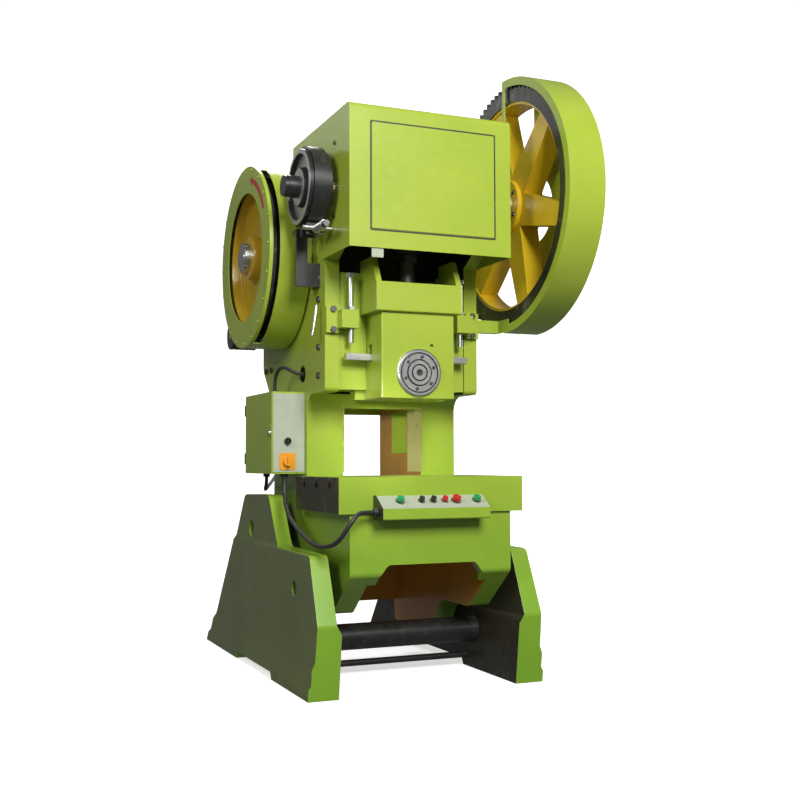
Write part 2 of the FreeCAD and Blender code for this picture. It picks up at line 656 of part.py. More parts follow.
def spoked_gear_shape(turn):
    """Cast wheel: toothed rim, six deep channel spokes and a hub."""
    low, high = d.gear_left, d.gear_right
    rim_inner, hub, root, reach = 458, 118, 90, 470
    half_root, half_rim, wall = 72, 46, 16
    wheel = toothed(int(d.gear_teeth), turn, low, high).cut(tube_shape(rim_inner, 0, low, high))
    wheel = wheel.fuse(tube_shape(rim_inner + 20, rim_inner - 12, low + 8, high - 8))
    parts = [tube_shape(hub, 70, low - 5, high + 5)]
    for spoke in range(6):
        web = [Vector(low + 16, y, z) for y, z in ((root, -half_root), (reach, -half_rim),
                                                   (reach, half_rim), (root, half_root))]
        pieces = [Part.Face(Part.makePolygon(web + [web[0]])).extrude(Vector(24, 0, 0))]
        for side in (-1, 1):
            edge = [Vector(low + 16, y, side * z) for y, z in
                    ((root, half_root), (reach, half_rim), (reach, half_rim - wall), (root, half_root - wall))]
            pieces.append(Part.Face(Part.makePolygon(edge + [edge[0]])).extrude(Vector(88, 0, 0)))
        for piece in pieces:
            piece.rotate(Vector(0, 0, 0), Vector(1, 0, 0), 60 * spoke + 15)
            parts.append(piece.cut(tube_shape(80, 0, low - 10, high + 10)))
    return wheel.fuse(parts).removeSplitter()


def make_gears():
    line = math.atan2(d.shaft_high - d.crank_high, d.shaft_back - d.centre_back)
    shape_node(spoked_gear_shape(line), "spoked_gear", d.centre_back, d.crank_high)
    node(turned("gear_bush", [(d.gear_left - 10, 55 + d.running_gap), (d.gear_left - 10, 70),
                              (d.gear_right + 10, 70), (d.gear_right + 10, 55 + d.running_gap)],
                d.centre_back, d.crank_high), "gear_bush")
    gap = line + math.pi + math.pi / d.pinion_teeth
    pinion = toothed(int(d.pinion_teeth), gap, d.gear_left + 2, d.gear_right - 2)
    pinion = pinion.cut(tube_shape(d.shaft_radius, 0, d.gear_left, d.gear_right))
    shape_node(pinion, "pinion", d.shaft_back, d.shaft_high)


def make_back_shaft():
    node(fuse([rod("shaft_radius", "X", "-558", "610", BACK_SHAFT),
               rod("50", "X", "-390", "-352", BACK_SHAFT), rod("50", "X", "352", "480", BACK_SHAFT)]),
         "back_shaft")
    rim, seat = d.wheel_radius, d.belt_seat
    outline = [(-528, d.shaft_radius), (-528, 95, 4), (-478, 105, 6), (-478, 292, 10), (-522, 300),
               (-522, rim)]
    for k in range(int(d.belt_count)):
        middle = d.belt_first + k * d.belt_pitch
        outline += [(middle - 9.5, rim), (middle - 7.5, seat), (middle + 7.5, seat), (middle + 9.5, rim)]
    outline += [(-400, rim), (-400, 300), (-448, 292, 10), (-448, 105, 6), (-392, 95), (-392, d.shaft_radius)]
    node(turned("flywheel", outline, d.shaft_back, d.shaft_high), "flywheel")
    nut = rod("67.5", "X", "-556", "-528", BACK_SHAFT)
    notches = []
    for k in range(4):
        notch = doc.addObject("Part::Box", "Notch")
        notch.Length, notch.Width, notch.Height = 20, 16, 14
        turn = Placement(Vector(-560, d.shaft_back, d.shaft_high), Rotation(Vector(1, 0, 0), 90 * k + 45))
        notch.Placement = turn.multiply(Placement(Vector(0, -8, 56), Rotation()))
        notches.append(notch)
    node(cut(nut, [group(notches), rod("shaft_radius", "X", "-560", "-520", BACK_SHAFT)]), "flywheel_nut")


MOTOR = ("motor_back", "motor_high")


def belt_loop(grow):
    """Face inside a belt's loop round flywheel and pulley, its seat radii grown by a distance."""
    start = Vector(0, d.shaft_back, d.shaft_high)
    line = Vector(0, d.motor_back, d.motor_high) - start
    big, small = d.belt_seat + 0.6 + grow, d.pulley_seat + 0.6 + grow
    along = math.atan2(line.z, line.y)
    lean = math.acos((big - small) / line.Length)

    def at(centre, radius, angle):
        return centre + Vector(0, radius * math.cos(angle), radius * math.sin(angle))

    upper, under = along + lean, along - lean
    far = start + line
    edges = [Part.Arc(at(start, big, upper), at(start, big, along + math.pi), at(start, big, under)).toShape(),
             Part.LineSegment(at(start, big, under), at(far, small, under)).toShape(),
             Part.Arc(at(far, small, under), at(far, small, along), at(far, small, upper)).toShape(),
             Part.LineSegment(at(far, small, upper), at(start, big, upper)).toShape()]
    return Part.Face(Part.Wire(edges))


def make_belts():
    loops = []
    for k in range(int(d.belt_count)):
        low = d.belt_first + k * d.belt_pitch - d.belt_wide / 2
        belt = belt_loop(d.belt_thick).extrude(Vector(d.belt_wide, 0, 0))
        belt = belt.cut(belt_loop(0).extrude(Vector(d.belt_wide, 0, 0)))
        belt.translate(Vector(low, 0, 0))
        loops.append(belt)
    shape_node(Part.Compound(loops), "v_belts")


def make_motor(fasteners):
    """Foot motor on a shelf in the open back of the head, its shaft through the left cheek."""
    shelf = fuse([block(("-1 * cheek_inner", "cheek_inner"), ("120", "400"), ("1374", "1390"))] +
                 [block(ends(side, "cheek_inner - 16", "cheek_inner"), ("150", "318"), ("1315", "1380"))
                  for side in (-1, 1)])
    node(cut(shelf, [fasteners]), "motor_bracket")
    body = fuse([rod("motor_radius", "X", "-250", "60", MOTOR), rod("60", "X", "-264", "-250", MOTOR),
                 block(("-210", "20"), ("motor_back - 95", "motor_back + 85"), ("1390", "1430")),
                 block(("-170", "-50"), ("motor_back + 80", "motor_back + 150"), ("1465", "1565"))])
    bore = rod("19 + running_gap", "X", "-290", "40", MOTOR)
    node(cut(body, [bore]), "motor")
    cover = rod("motor_radius + 2", "X", "60", "135", MOTOR)
    node(cut(cover, [rod("motor_radius - 2", "X", "60", "131", MOTOR)]), "fan_cover")
    node(rod("19", "X", "-528", "38", MOTOR), "motor_shaft")
    rim, seat = d.pulley_radius, d.pulley_seat
    outline = [(-525, 19), (-525, rim)]
    for k in range(int(d.belt_count)):
        middle = d.belt_first + k * d.belt_pitch
        outline += [(middle - 9.5, rim), (middle - 7.5, seat), (middle + 7.5, seat), (middle + 9.5, rim)]
    outline += [(-405, rim), (-405, 19)]
    node(turned("motor_pulley", outline, d.motor_back, d.motor_high), "motor_pulley")


# ---------------------------------------------------------------- guards and brake

def make_flywheel_guard():
    band = rod("guard_radius", "X", "guard_left", "guard_right", BACK_SHAFT)
    hollow = rod("guard_radius - sheet_metal", "X", "guard_left + sheet_metal", "guard_right + 1", BACK_SHAFT)
    window = rod("guard_window", "X", "guard_left - 1", "guard_left + 10", BACK_SHAFT)
    lip = cut(rod("guard_radius", "X", "guard_right - 4", "guard_right", BACK_SHAFT),
              [rod("guard_radius - 30", "X", "guard_right - 5", "guard_right + 1", BACK_SHAFT)])
    slot = cut(sector(430, "-528", "-498", 118, 138, "shaft_back", "shaft_high"),
               [rod("380", "X", "-530", "-490", BACK_SHAFT)])
    belts = cut(sector(430, "-530", "-388", 285, 60, "shaft_back", "shaft_high"),
                [rod("380", "X", "-532", "-380", BACK_SHAFT)])
    feet = [block(("guard_right - 4", "-350"), (str(y - 16), str(y + 16)), (str(z - 16), str(z + 16)))
            for y, z in ((-372, 1695), (-7, 1448), (315, 1640))]
    node(fuse([cut(fuse([cut(band, [hollow, window]), lip]), [slot, belts])] + feet), "flywheel_guard")


def make_gear_guard():
    ring = "gear_guard_radius"
    low, high = "gear_guard_left", "gear_guard_right"
    shell = cut(rod(ring, "X", low, high, CRANK),
                [rod(ring + " - sheet_metal", "X", low + " + sheet_metal", high + " - sheet_metal", CRANK),
                 rod(ring + " - 36", "X", low + " - 1", low + " + 10", CRANK),
                 rod("150", "X", high + " - 10", high + " + 1", CRANK)])
    front = common(shell, block(("400", "700"), ("-1300", "centre_back"), ("1400", "2700")))
    strip = block((low, low + " + sheet_metal"), ("centre_back - 26", "centre_back"), ("2290", "2580"))
    upper = block(("hood_half", low + " + sheet_metal"), ("centre_back - 26", "centre_back"), ("2240", "2294"))
    tail = block((low, low + " + sheet_metal"), ("centre_back - 40", "-520"), ("1474", "1530"))
    lower = block(("frame_half", low + " + sheet_metal"), ("-550", "-520"), ("1474", "1530"))
    node(fuse([front, strip, upper, tail, lower]), "gear_guard")


def make_brake(fasteners):
    """Band brake: a lined band round the drum, anchored behind and pulled tight by a sprung bolt."""
    outer = cut(rod("167", "X", "-462", "-398", CRANK),
                [rod("drum_radius + 0.5", "X", "-470", "-390", CRANK),
                 block(("-470", "-390"), ("-650", "-590"), ("1840", "1920"))])
    lugs = [block(("-462", "-398"), (str(y), str(y + 10)), ("1828", "1884")) for y in (-660, -590)]
    lugs = [cut(lug, [rod("drum_radius + 0.5", "X", "-470", "-390", CRANK)]) for lug in lugs]
    node(cut(fuse([outer] + lugs), [fasteners]), "brake_band")
    coils = []
    for k in range(8):
        ring = doc.addObject("Part::Torus", "Coil")
        ring.Radius1, ring.Radius2 = 16, 3.5
        ring.Placement = Placement(Vector(-430, -792 + 16 * k, 1845), AXES["Y"])
        coils.append(ring)
    node(group(coils), "brake_spring")
    arm = fuse([block(("-360", "-350"), ("-500", "-415"), ("1640", "1740")),
                block(("-455", "-350"), ("-500", "-484"), ("1640", "1740")),
                block(("-455", "-405"), ("-500", "-484"), ("1640", "1880"))])
    link = block(("-455", "-405"), ("-500", "-445"), ("1860", "1880"))
    trim = rod("167.4", "X", "-470", "-390", CRANK)
    node(cut(fuse([arm, link]), [trim, fasteners]), "brake_bracket")


# ---------------------------------------------------------------- controls

SLOPE = math.atan2(47, 70)
BUTTONS = [("button_left_start", -165, 15), ("button_jog", -75, 11), ("button_oil", -25, 11),
           ("button_stop", 25, 11), ("button_emergency", 75, 17), ("button_right_start", 165, 15)]
BUTTON_TRAVEL = 4


def console_rod(x, radius, low, high, centre_y=-915, centre_z=753.5):
    """Cylinder square to the console's sloping top, low and high measured from that top."""
    shape = doc.addObject("Part::Cylinder", "Round")
    shape.Radius, shape.Height = radius, high - low
    up = Vector(0, -math.sin(SLOPE), math.cos(SLOPE))
    shape.Placement = Placement(Vector(x, centre_y, centre_z) + up * low, Rotation(Vector(0, 0, 1), up))
    return shape


def make_console():
    side = [(d.table_front, 686), (-950, 686, 6), (-950, 730), (-880, 777), (d.table_front, 777)]
    hollow = [(d.table_front + 1, 689), (-947, 689), (-947, 728.4), (-879, 774), (d.table_front + 1, 774)]
    shell = body_named("console_shell")
    prism(shell, "YZ_Plane", "console_left", "console_right", [side])
    prism(shell, "YZ_Plane", "console_left + 3", "console_right - 3", [hollow], cut=True)
    holes = [console_rod(x, 7, -20, 10) for name, x, radius in BUTTONS]
    node(cut(shell, [group(holes)]), "console")
    cap = body_named("console_cap_plate")
    prism(cap, "YZ_Plane", "console_left - 8", "console_left",
          [[(d.table_front, 684), (-952, 684, 6), (-952, 731), (-880, 779), (d.table_front, 779)],
           (-912, 716, d.conduit_radius)])
    node(cap, "console_end_cap")
    bezels = [cut(console_rod(x, radius + 4, 0, 5), [console_rod(x, 7, -1, 6)]) for name, x, radius in BUTTONS]
    node(group(bezels), "button_bezels")
    for name, x, radius in BUTTONS:
        stem = console_rod(x, 6.5, -16, 12)
        head = console_rod(x, radius, 5 + BUTTON_TRAVEL + 1, 22)
        node(fuse([stem, head]), name)


def make_control_box(glands):
    shell = block(("box_left", "-1 * frame_half"), ("box_front", "box_back"), ("box_bottom", "box_top"))
    inside = block(("box_left - 1", "-1 * frame_half - 3"), ("box_front + 3", "box_back - 3"),
                   ("box_bottom + 3", "box_top - 3"))
    through_front = [rod("6", "Y", "box_front - 5", "box_front + 5", ("-430", "1000")),
                     rod("6", "Y", "box_front - 5", "box_front + 5", ("-430", "912"))]
    node(cut(shell, [inside, glands] + through_front), "control_box")
    panel = block(("box_left + 3", "-1 * frame_half - 3"), ("box_front - 3", "box_front"),
                  ("box_bottom + 8", "box_top - 8"))
    node(cut(panel, through_front), "box_front_panel")
    grip = fuse([rod("5.5", "Y", "box_front - 20", "box_front + 4", ("-430", "912")),
                 rod("20", "Y", "box_front - 22", "box_front - 7", ("-430", "912")),
                 block(("-436", "-424"), ("box_front - 34", "box_front - 20"), ("892", "932"))])
    node(grip, "isolator_handle")
    knob = fuse([rod("5.5", "Y", "box_front - 14", "box_front + 4", ("-430", "1000")),
                 rod("15", "Y", "box_front - 14", "box_front - 4", ("-430", "1000")),
                 block(("-434", "-426"), ("box_front - 26", "box_front - 13"), ("986", "1014"))])
    node(knob, "selector_knob")
    door = block(("box_left - 4", "box_left - 1"), ("box_front - 3", "box_back"), ("box_bottom", "box_top"))
    lock = ("box_front + 25", "1035")
    node(cut(door, [rod("9", "X", "box_left - 10", "box_left + 1", lock)]), "box_door")
    tongue = block(("box_left + 3", "box_left + 6"), ("box_front + 14", "box_front + 36"), ("1026", "1085"))
    latch = fuse([rod("8.9", "X", "box_left - 6", "box_left + 4", lock),
                  rod("14", "X", "box_left - 12", "box_left - 4.2", lock), tongue])
    node(latch, "door_latch")
    hinges = [rod("5", "Z", str(low), str(low + 50), ("box_left - 2", "box_back + 5.5")) for low in (900, 1120)]
    node(group(hinges), "door_hinges")


# ---------------------------------------------------------------- cords

CONDUIT = [(-430, -262, 859), (-430, -262, 795), (-438, -300, 732), (-448, -390, 680), (-452, -500, 642),
           (-454, -620, 608), (-452, -730, 584), (-440, -832, 580), (-418, -918, 606), (-392, -958, 668),
           (-352, -950, 716), (-300, -912, 716), (-258, -912, 716)]
MOTOR_HOSE = [(-425, 30, 859), (-425, 30, 812), (-420, 70, 785), (-398, 135, 784), (-366, 205, 796),
              (-318, 285, 826), (-262, 350, 880), (-205, 400, 950), (-160, 432, 1030), (-130, 448, 1115),
              (-115, 454, 1205), (-111, 451, 1295), (-110, 440, 1385), (-110, 440, 1465)]
BOX_LOOP = [(-430, -110, 1212), (-430, -110, 1262), (-430, -138, 1304), (-426, -188, 1326),
            (-414, -238, 1320), (-386, -268, 1296), (-344, -268, 1291)]


def cord_path(route):
    """Straight runs joined by tangent arcs; prints and checks each arc's radius."""
    points = [Vector(*p) for p in route]
    edges, radii, start, length = [], [], points[0], 0.0
    for before, here, after in zip(points, points[1:], points[2:]):
        back, ahead = before - here, after - here
        run = min(back.Length, ahead.Length)
        turn = math.pi - back.getAngle(ahead)
        reach = 0.45 * run
        radius = reach / math.tan(turn / 2)
        back.normalize()
        ahead.normalize()
        enter, leave = here + back * reach, here + ahead * reach
        inward = (back + ahead).normalize() * (radius / math.cos(turn / 2) - radius)
        edges += [Part.LineSegment(start, enter).toShape(), Part.Arc(enter, here + inward, leave).toShape()]
        radii.append(round(radius))
        start = leave
    edges.append(Part.LineSegment(start, points[-1]).toShape())
    length = sum(edge.Length for edge in edges)
    return Part.Wire(edges), radii, length


def make_cord(route, radius, name):
    wire, radii, length = cord_path(route)
    first = Vector(*route[1]) - Vector(*route[0])
    section = Part.Wire(Part.makeCircle(radius, Vector(*route[0]), first))
    tube = wire.makePipeShell([section], True, False)
    expected = math.pi * radius ** 2 * length
    print(name, "radii", radii, "length", round(length), "volume ratio", round(tube.Volume / expected, 4))
    if abs(tube.Volume / expected - 1) > 0.01:
        raise ValueError(name + ": the swept volume is wrong")
    shape_node(tube, name)


def gland(end, towards, inner):
    """Round cable gland on a wall at the end of a cord."""
    start = Vector(*end)
    axis = (Vector(*towards) - start).normalize()
    ring = Part.makeCylinder(inner + 7, 16, start, axis).cut(Part.makeCylinder(inner, 16, start, axis))
    return ring


def make_glands():
    rings = []
    for route, radius, skip_far in ((CONDUIT, d.conduit_radius, False), (MOTOR_HOSE, d.hose_radius, False),
                                    (BOX_LOOP, d.hose_radius, True)):
        rings.append(gland(route[0], route[1], radius))
        if not skip_far:
            rings.append(gland(route[-1], route[-2], radius))
    return shape_node(Part.Compound(rings), "cord_glands")


# ---------------------------------------------------------------- assembly

every_bolt = frame_bolts() + table_bolts() + hood_screws() + [brake_bolt()]
fasteners = node(group(every_bolt), "frame_fasteners")
glands = make_glands()
make_stand()
make_c_frame(fasteners)
make_table(fasteners)
make_bushes()
make_gibs(fasteners)
make_hood(fasteners)
make_crankshaft()
make_connecting_rod()
make_slide()
make_stops(fasteners)
make_gears()
make_back_shaft()
make_belts()
make_motor(fasteners)
make_flywheel_guard()
make_gear_guard()
make_brake(fasteners)
make_console()
make_control_box(glands)
make_cord(CONDUIT, d.conduit_radius, "console_conduit")
make_cord(MOTOR_HOSE, d.hose_radius, "motor_hose")
make_cord(BOX_LOOP, d.hose_radius, "box_loop")
doc.recompute()

for thing in doc.Objects:
    if "Invalid" in thing.State or "Error" in thing.State:
        raise ValueError("%s (%s) failed to compute" % (thing.Label, thing.Name))
os.makedirs("parts", exist_ok=True)
for old in os.listdir("parts"):
    os.remove(os.path.join("parts", old))
for thing in NODES:
    if thing.Shape.isNull() or not thing.Shape.isValid() or thing.Shape.Volume <= 0:
        raise ValueError(thing.Label + ": the shape is not a valid solid")
    thing.Shape.exportStep(os.path.join("parts", thing.Label + ".step"))
print(len(NODES), "nodes written")
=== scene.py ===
# %% [markdown]
# # Open-back inclinable press
# The castings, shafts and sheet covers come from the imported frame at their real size. This file gives
# them their finish and adds what the construction model leaves plain: softened cast edges, the hood's
# panel, bolt circles, cooling fins, cables and small fittings. Lengths are metres.

# %% Load the frame
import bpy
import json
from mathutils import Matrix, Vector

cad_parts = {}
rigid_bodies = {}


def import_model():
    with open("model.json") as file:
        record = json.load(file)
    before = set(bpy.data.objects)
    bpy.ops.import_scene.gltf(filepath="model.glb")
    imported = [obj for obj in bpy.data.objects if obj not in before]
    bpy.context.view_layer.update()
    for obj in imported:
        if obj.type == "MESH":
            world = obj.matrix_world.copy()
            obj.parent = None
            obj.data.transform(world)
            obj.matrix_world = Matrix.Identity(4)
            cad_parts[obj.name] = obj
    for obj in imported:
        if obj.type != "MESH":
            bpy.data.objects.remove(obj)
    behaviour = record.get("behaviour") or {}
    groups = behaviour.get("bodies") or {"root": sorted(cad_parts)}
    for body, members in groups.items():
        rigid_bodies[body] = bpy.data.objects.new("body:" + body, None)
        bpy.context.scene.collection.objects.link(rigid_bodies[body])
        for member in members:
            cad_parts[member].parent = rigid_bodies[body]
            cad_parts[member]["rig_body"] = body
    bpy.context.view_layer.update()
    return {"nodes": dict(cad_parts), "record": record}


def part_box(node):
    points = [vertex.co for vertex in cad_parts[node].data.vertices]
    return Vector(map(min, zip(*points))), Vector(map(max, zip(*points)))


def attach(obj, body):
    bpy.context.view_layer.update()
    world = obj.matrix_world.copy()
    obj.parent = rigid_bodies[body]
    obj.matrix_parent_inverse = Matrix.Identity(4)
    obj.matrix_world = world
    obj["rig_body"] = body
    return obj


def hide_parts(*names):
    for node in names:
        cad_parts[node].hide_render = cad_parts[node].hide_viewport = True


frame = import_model()
import json
import math

import bmesh
import bpy
from mathutils import Matrix, Vector

NODES = frame["nodes"]
BODY_OF = {n: o["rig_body"] for n, o in NODES.items()}
SLOT_OF = {s["node"]: s["material_slot"] for s in frame["record"]["subparts"]}
print("loaded", len(NODES), "nodes")

# %% [markdown]
# ## Working values
# Two lines of the machine place most of the added pieces: the crankshaft and the back shaft. They are
# read from the frame's own parts, so that nothing is measured twice.


# %% Lines of the machine
def middle_of(node):
    low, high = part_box(node)
    return (low + high) / 2


CRANK = middle_of("brake_drum")
BACK_SHAFT = middle_of("flywheel")
MOTOR = middle_of("fan_cover")
HOOD_LOW, HOOD_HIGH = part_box("hood")
print("crank line", tuple(round(v, 3) for v in CRANK), "back shaft", tuple(round(v, 3) for v in BACK_SHAFT))

# %% [markdown]
# ## Shared surface effects
# Enamel on a casting is never one flat colour: it pools and thins, carries a fine orange peel and
# collects dust on faces that look up. Where a paint asks for it, painted shade also darkens it towards
# the bottom. One node group works this out once, from Object coordinates, and each paint puts in its
# own values. A second group makes the rings that a lathe leaves, and a third the cloudy stain of oil on
# machined steel.


# %% A small kit for node trees
def new_group(name, inputs, outputs):
    tree = bpy.data.node_groups.new(name, "ShaderNodeTree")
    for title, kind, value in inputs:
        socket = tree.interface.new_socket(title, in_out="INPUT", socket_type=kind)
        socket.default_value = value
    for title, kind in outputs:
        tree.interface.new_socket(title, in_out="OUTPUT", socket_type=kind)
    return tree, tree.nodes.new("NodeGroupInput").outputs, tree.nodes.new("NodeGroupOutput").inputs


def add(tree, kind, **settings):
    """Adds a node; words name its properties, and input_0, input_Scale and so on its sockets."""
    node = tree.nodes.new(kind)
    for key, value in settings.items():
        if key.startswith("input_"):
            name = key[6:].replace("_", " ")
            socket = node.inputs[int(name)] if name.isdigit() else node.inputs[name]
            if isinstance(value, bpy.types.NodeSocket):
                tree.links.new(value, socket)
            else:
                socket.default_value = value
        else:
            setattr(node, key, value)
    return node


def mix_colour(tree, factor, first, second, blend="MIX"):
    node = add(tree, "ShaderNodeMix", data_type="RGBA", blend_type=blend)
    for place, value in ((0, factor), (6, first), (7, second)):
        if isinstance(value, bpy.types.NodeSocket):
            tree.links.new(value, node.inputs[place])
        else:
            node.inputs[place].default_value = value
    return node.outputs[2]


def remap(tree, value, low, high, to_low=0.0, to_high=1.0):
    node = add(tree, "ShaderNodeMapRange", input_0=value, input_1=low, input_2=high, input_3=to_low,
               input_4=to_high)
    return node.outputs[0]


def noise(tree, where, scale, detail=4.0, rough=0.55):
    node = add(tree, "ShaderNodeTexNoise", input_Vector=where, input_Scale=scale, input_Detail=detail,
               input_Roughness=rough)
    return node.outputs["Fac"]


print("node tree helpers ready")


# %% Enamel film
def enamel_group():
    tree, given, out = new_group(
        "enamel_film",
        [("Colour", "NodeSocketColor", (0.4, 0.5, 0.1, 1)), ("Deep", "NodeSocketColor", (0.2, 0.3, 0.05, 1)),
         ("Dust", "NodeSocketFloat", 0.2), ("Chips", "NodeSocketFloat", 0.2),
         ("Gloss", "NodeSocketFloat", 0.25), ("Low", "NodeSocketFloat", 0.0)],
        [("Colour", "NodeSocketColor"), ("Roughness", "NodeSocketFloat"), ("Height", "NodeSocketFloat")])
    place = add(tree, "ShaderNodeTexCoord").outputs["Object"]
    cloud = remap(tree, noise(tree, place, 3.2), 0.35, 0.7)
    colour = mix_colour(tree, cloud, given["Colour"], given["Deep"])
    # Painted shade: below 1.15 m the colour is multiplied darker and greener towards the bottom, as far as
    # the low-shade amount asks.
    level = add(tree, "ShaderNodeSeparateXYZ", input_0=place).outputs[2]
    low = add(tree, "ShaderNodeMath", operation="MULTIPLY", input_0=remap(tree, level, 1.15, 0.35),
              input_1=given["Low"])
    colour = mix_colour(tree, low.outputs[0], colour, (0.55, 0.80, 0.60, 1), "MULTIPLY")
    geometry = add(tree, "ShaderNodeNewGeometry")
    upward = add(tree, "ShaderNodeSeparateXYZ", input_0=geometry.outputs["Normal"]).outputs[2]
    speckle = remap(tree, noise(tree, place, 38.0, 6.0), 0.35, 0.75)
    settle = add(tree, "ShaderNodeMath", operation="MULTIPLY", input_0=remap(tree, upward, 0.35, 1.0),
                 input_1=speckle).outputs[0]
    dusty = add(tree, "ShaderNodeMath", operation="MULTIPLY", input_0=settle, input_1=given["Dust"])
    colour = mix_colour(tree, dusty.outputs[0], colour, (0.52, 0.49, 0.40, 1))
    edge = remap(tree, geometry.outputs["Pointiness"], 0.53, 0.60)
    patchy = remap(tree, noise(tree, place, 24.0, 5.0), 0.56, 0.66)
    bare = add(tree, "ShaderNodeMath", operation="MULTIPLY", input_0=edge, input_1=patchy).outputs[0]
    chipped = add(tree, "ShaderNodeMath", operation="MULTIPLY", input_0=bare, input_1=given["Chips"])
    colour = mix_colour(tree, chipped.outputs[0], colour, (0.16, 0.15, 0.13, 1))
    tree.links.new(colour, out["Colour"])
    rough = add(tree, "ShaderNodeMath", operation="MULTIPLY_ADD", input_0=speckle, input_1=0.10,
                input_2=given["Gloss"])
    duller = add(tree, "ShaderNodeMath", operation="ADD", input_0=rough.outputs[0],
                 input_1=dusty.outputs[0])
    tree.links.new(duller.outputs[0], out["Roughness"])
    peel = noise(tree, place, 170.0, 2.0)
    sag = noise(tree, place, 14.0, 3.0)
    height = add(tree, "ShaderNodeMath", operation="MULTIPLY_ADD", input_0=sag, input_1=2.2, input_2=peel)
    tree.links.new(height.outputs[0], out["Height"])
    return tree


ENAMEL = enamel_group()
print("enamel film:", len(ENAMEL.nodes), "nodes")


# %% Lathe rings and oil stain
def machined_group():
    tree, given, out = new_group(
        "machined_metal",
        [("Colour", "NodeSocketColor", (0.6, 0.6, 0.6, 1)),
         ("Stain", "NodeSocketColor", (0.2, 0.17, 0.12, 1)),
         ("Stained", "NodeSocketFloat", 0.3), ("Gloss", "NodeSocketFloat", 0.22),
         ("Fineness", "NodeSocketFloat", 260.0)],
        [("Colour", "NodeSocketColor"), ("Roughness", "NodeSocketFloat"), ("Height", "NodeSocketFloat")])
    place = add(tree, "ShaderNodeTexCoord").outputs["Object"]
    cloud = remap(tree, noise(tree, place, 7.0, 6.0), 0.42, 0.72)
    amount = add(tree, "ShaderNodeMath", operation="MULTIPLY", input_0=cloud, input_1=given["Stained"])
    colour = mix_colour(tree, amount.outputs[0], given["Colour"], given["Stain"])
    tree.links.new(colour, out["Colour"])
    wave = add(tree, "ShaderNodeTexWave", wave_type="BANDS", bands_direction="X", input_Vector=place,
               input_Scale=given["Fineness"], input_Distortion=1.5, input_Detail=2.0)
    scratch = noise(tree, place, 120.0, 5.0)
    rough = add(tree, "ShaderNodeMath", operation="MULTIPLY_ADD", input_0=scratch, input_1=0.22,
                input_2=given["Gloss"])
    more = add(tree, "ShaderNodeMath", operation="MULTIPLY_ADD", input_0=amount.outputs[0], input_1=0.25,
               input_2=rough.outputs[0])
    tree.links.new(more.outputs[0], out["Roughness"])
    height = add(tree, "ShaderNodeMath", operation="MULTIPLY_ADD", input_0=wave.outputs["Fac"], input_1=0.5,
                 input_2=scratch)
    tree.links.new(height.outputs[0], out["Height"])
    return tree


MACHINED = machined_group()
print("machined metal:", len(MACHINED.nodes), "nodes")

# %% [markdown]
# ## Finishes
# Every material is a Principled shader fed by one of the groups. The yellow-green body colour is a
# thick two-pack enamel, so it has a clear coat; the wheels' yellow is the same paint in another tint.


# %% Making a finish
def finish(name, group, values, bump=0.15, distance=0.0006, **sockets):
    material = bpy.data.materials.new(name)
    material.use_nodes = True
    tree = material.node_tree
    shader = tree.nodes["Principled BSDF"]
    for key, value in sockets.items():
        shader.inputs[key.replace("_", " ")].default_value = value
    effect = tree.nodes.new("ShaderNodeGroup")
    effect.node_tree = group
    for key, value in values.items():
        effect.inputs[key].default_value = value
    relief = add(tree, "ShaderNodeBump", input_Strength=bump, input_Distance=distance,
                 input_Height=effect.outputs["Height"])
    tree.links.new(effect.outputs["Colour"], shader.inputs["Base Color"])
    tree.links.new(effect.outputs["Roughness"], shader.inputs["Roughness"])
    tree.links.new(relief.outputs[0], shader.inputs["Normal"])
    return material


# low sets how strongly painted shade darkens a paint towards the bottom.
def enamel(name, colour, deep, dust=0.25, chips=0.6, gloss=0.28, coat=0.2, low=0.0):
    return finish(name, ENAMEL, {"Colour": (*colour, 1), "Deep": (*deep, 1), "Dust": dust, "Chips": chips,
                                 "Gloss": gloss, "Low": low}, Coat_Weight=coat, Coat_Roughness=0.18)


def metal(name, colour, stain, stained=0.35, gloss=0.2, fineness=260.0):
    return finish(name, MACHINED, {"Colour": (*colour, 1), "Stain": (*stain, 1), "Stained": stained,
                                   "Gloss": gloss, "Fineness": fineness}, Metallic=1.0, bump=0.12)


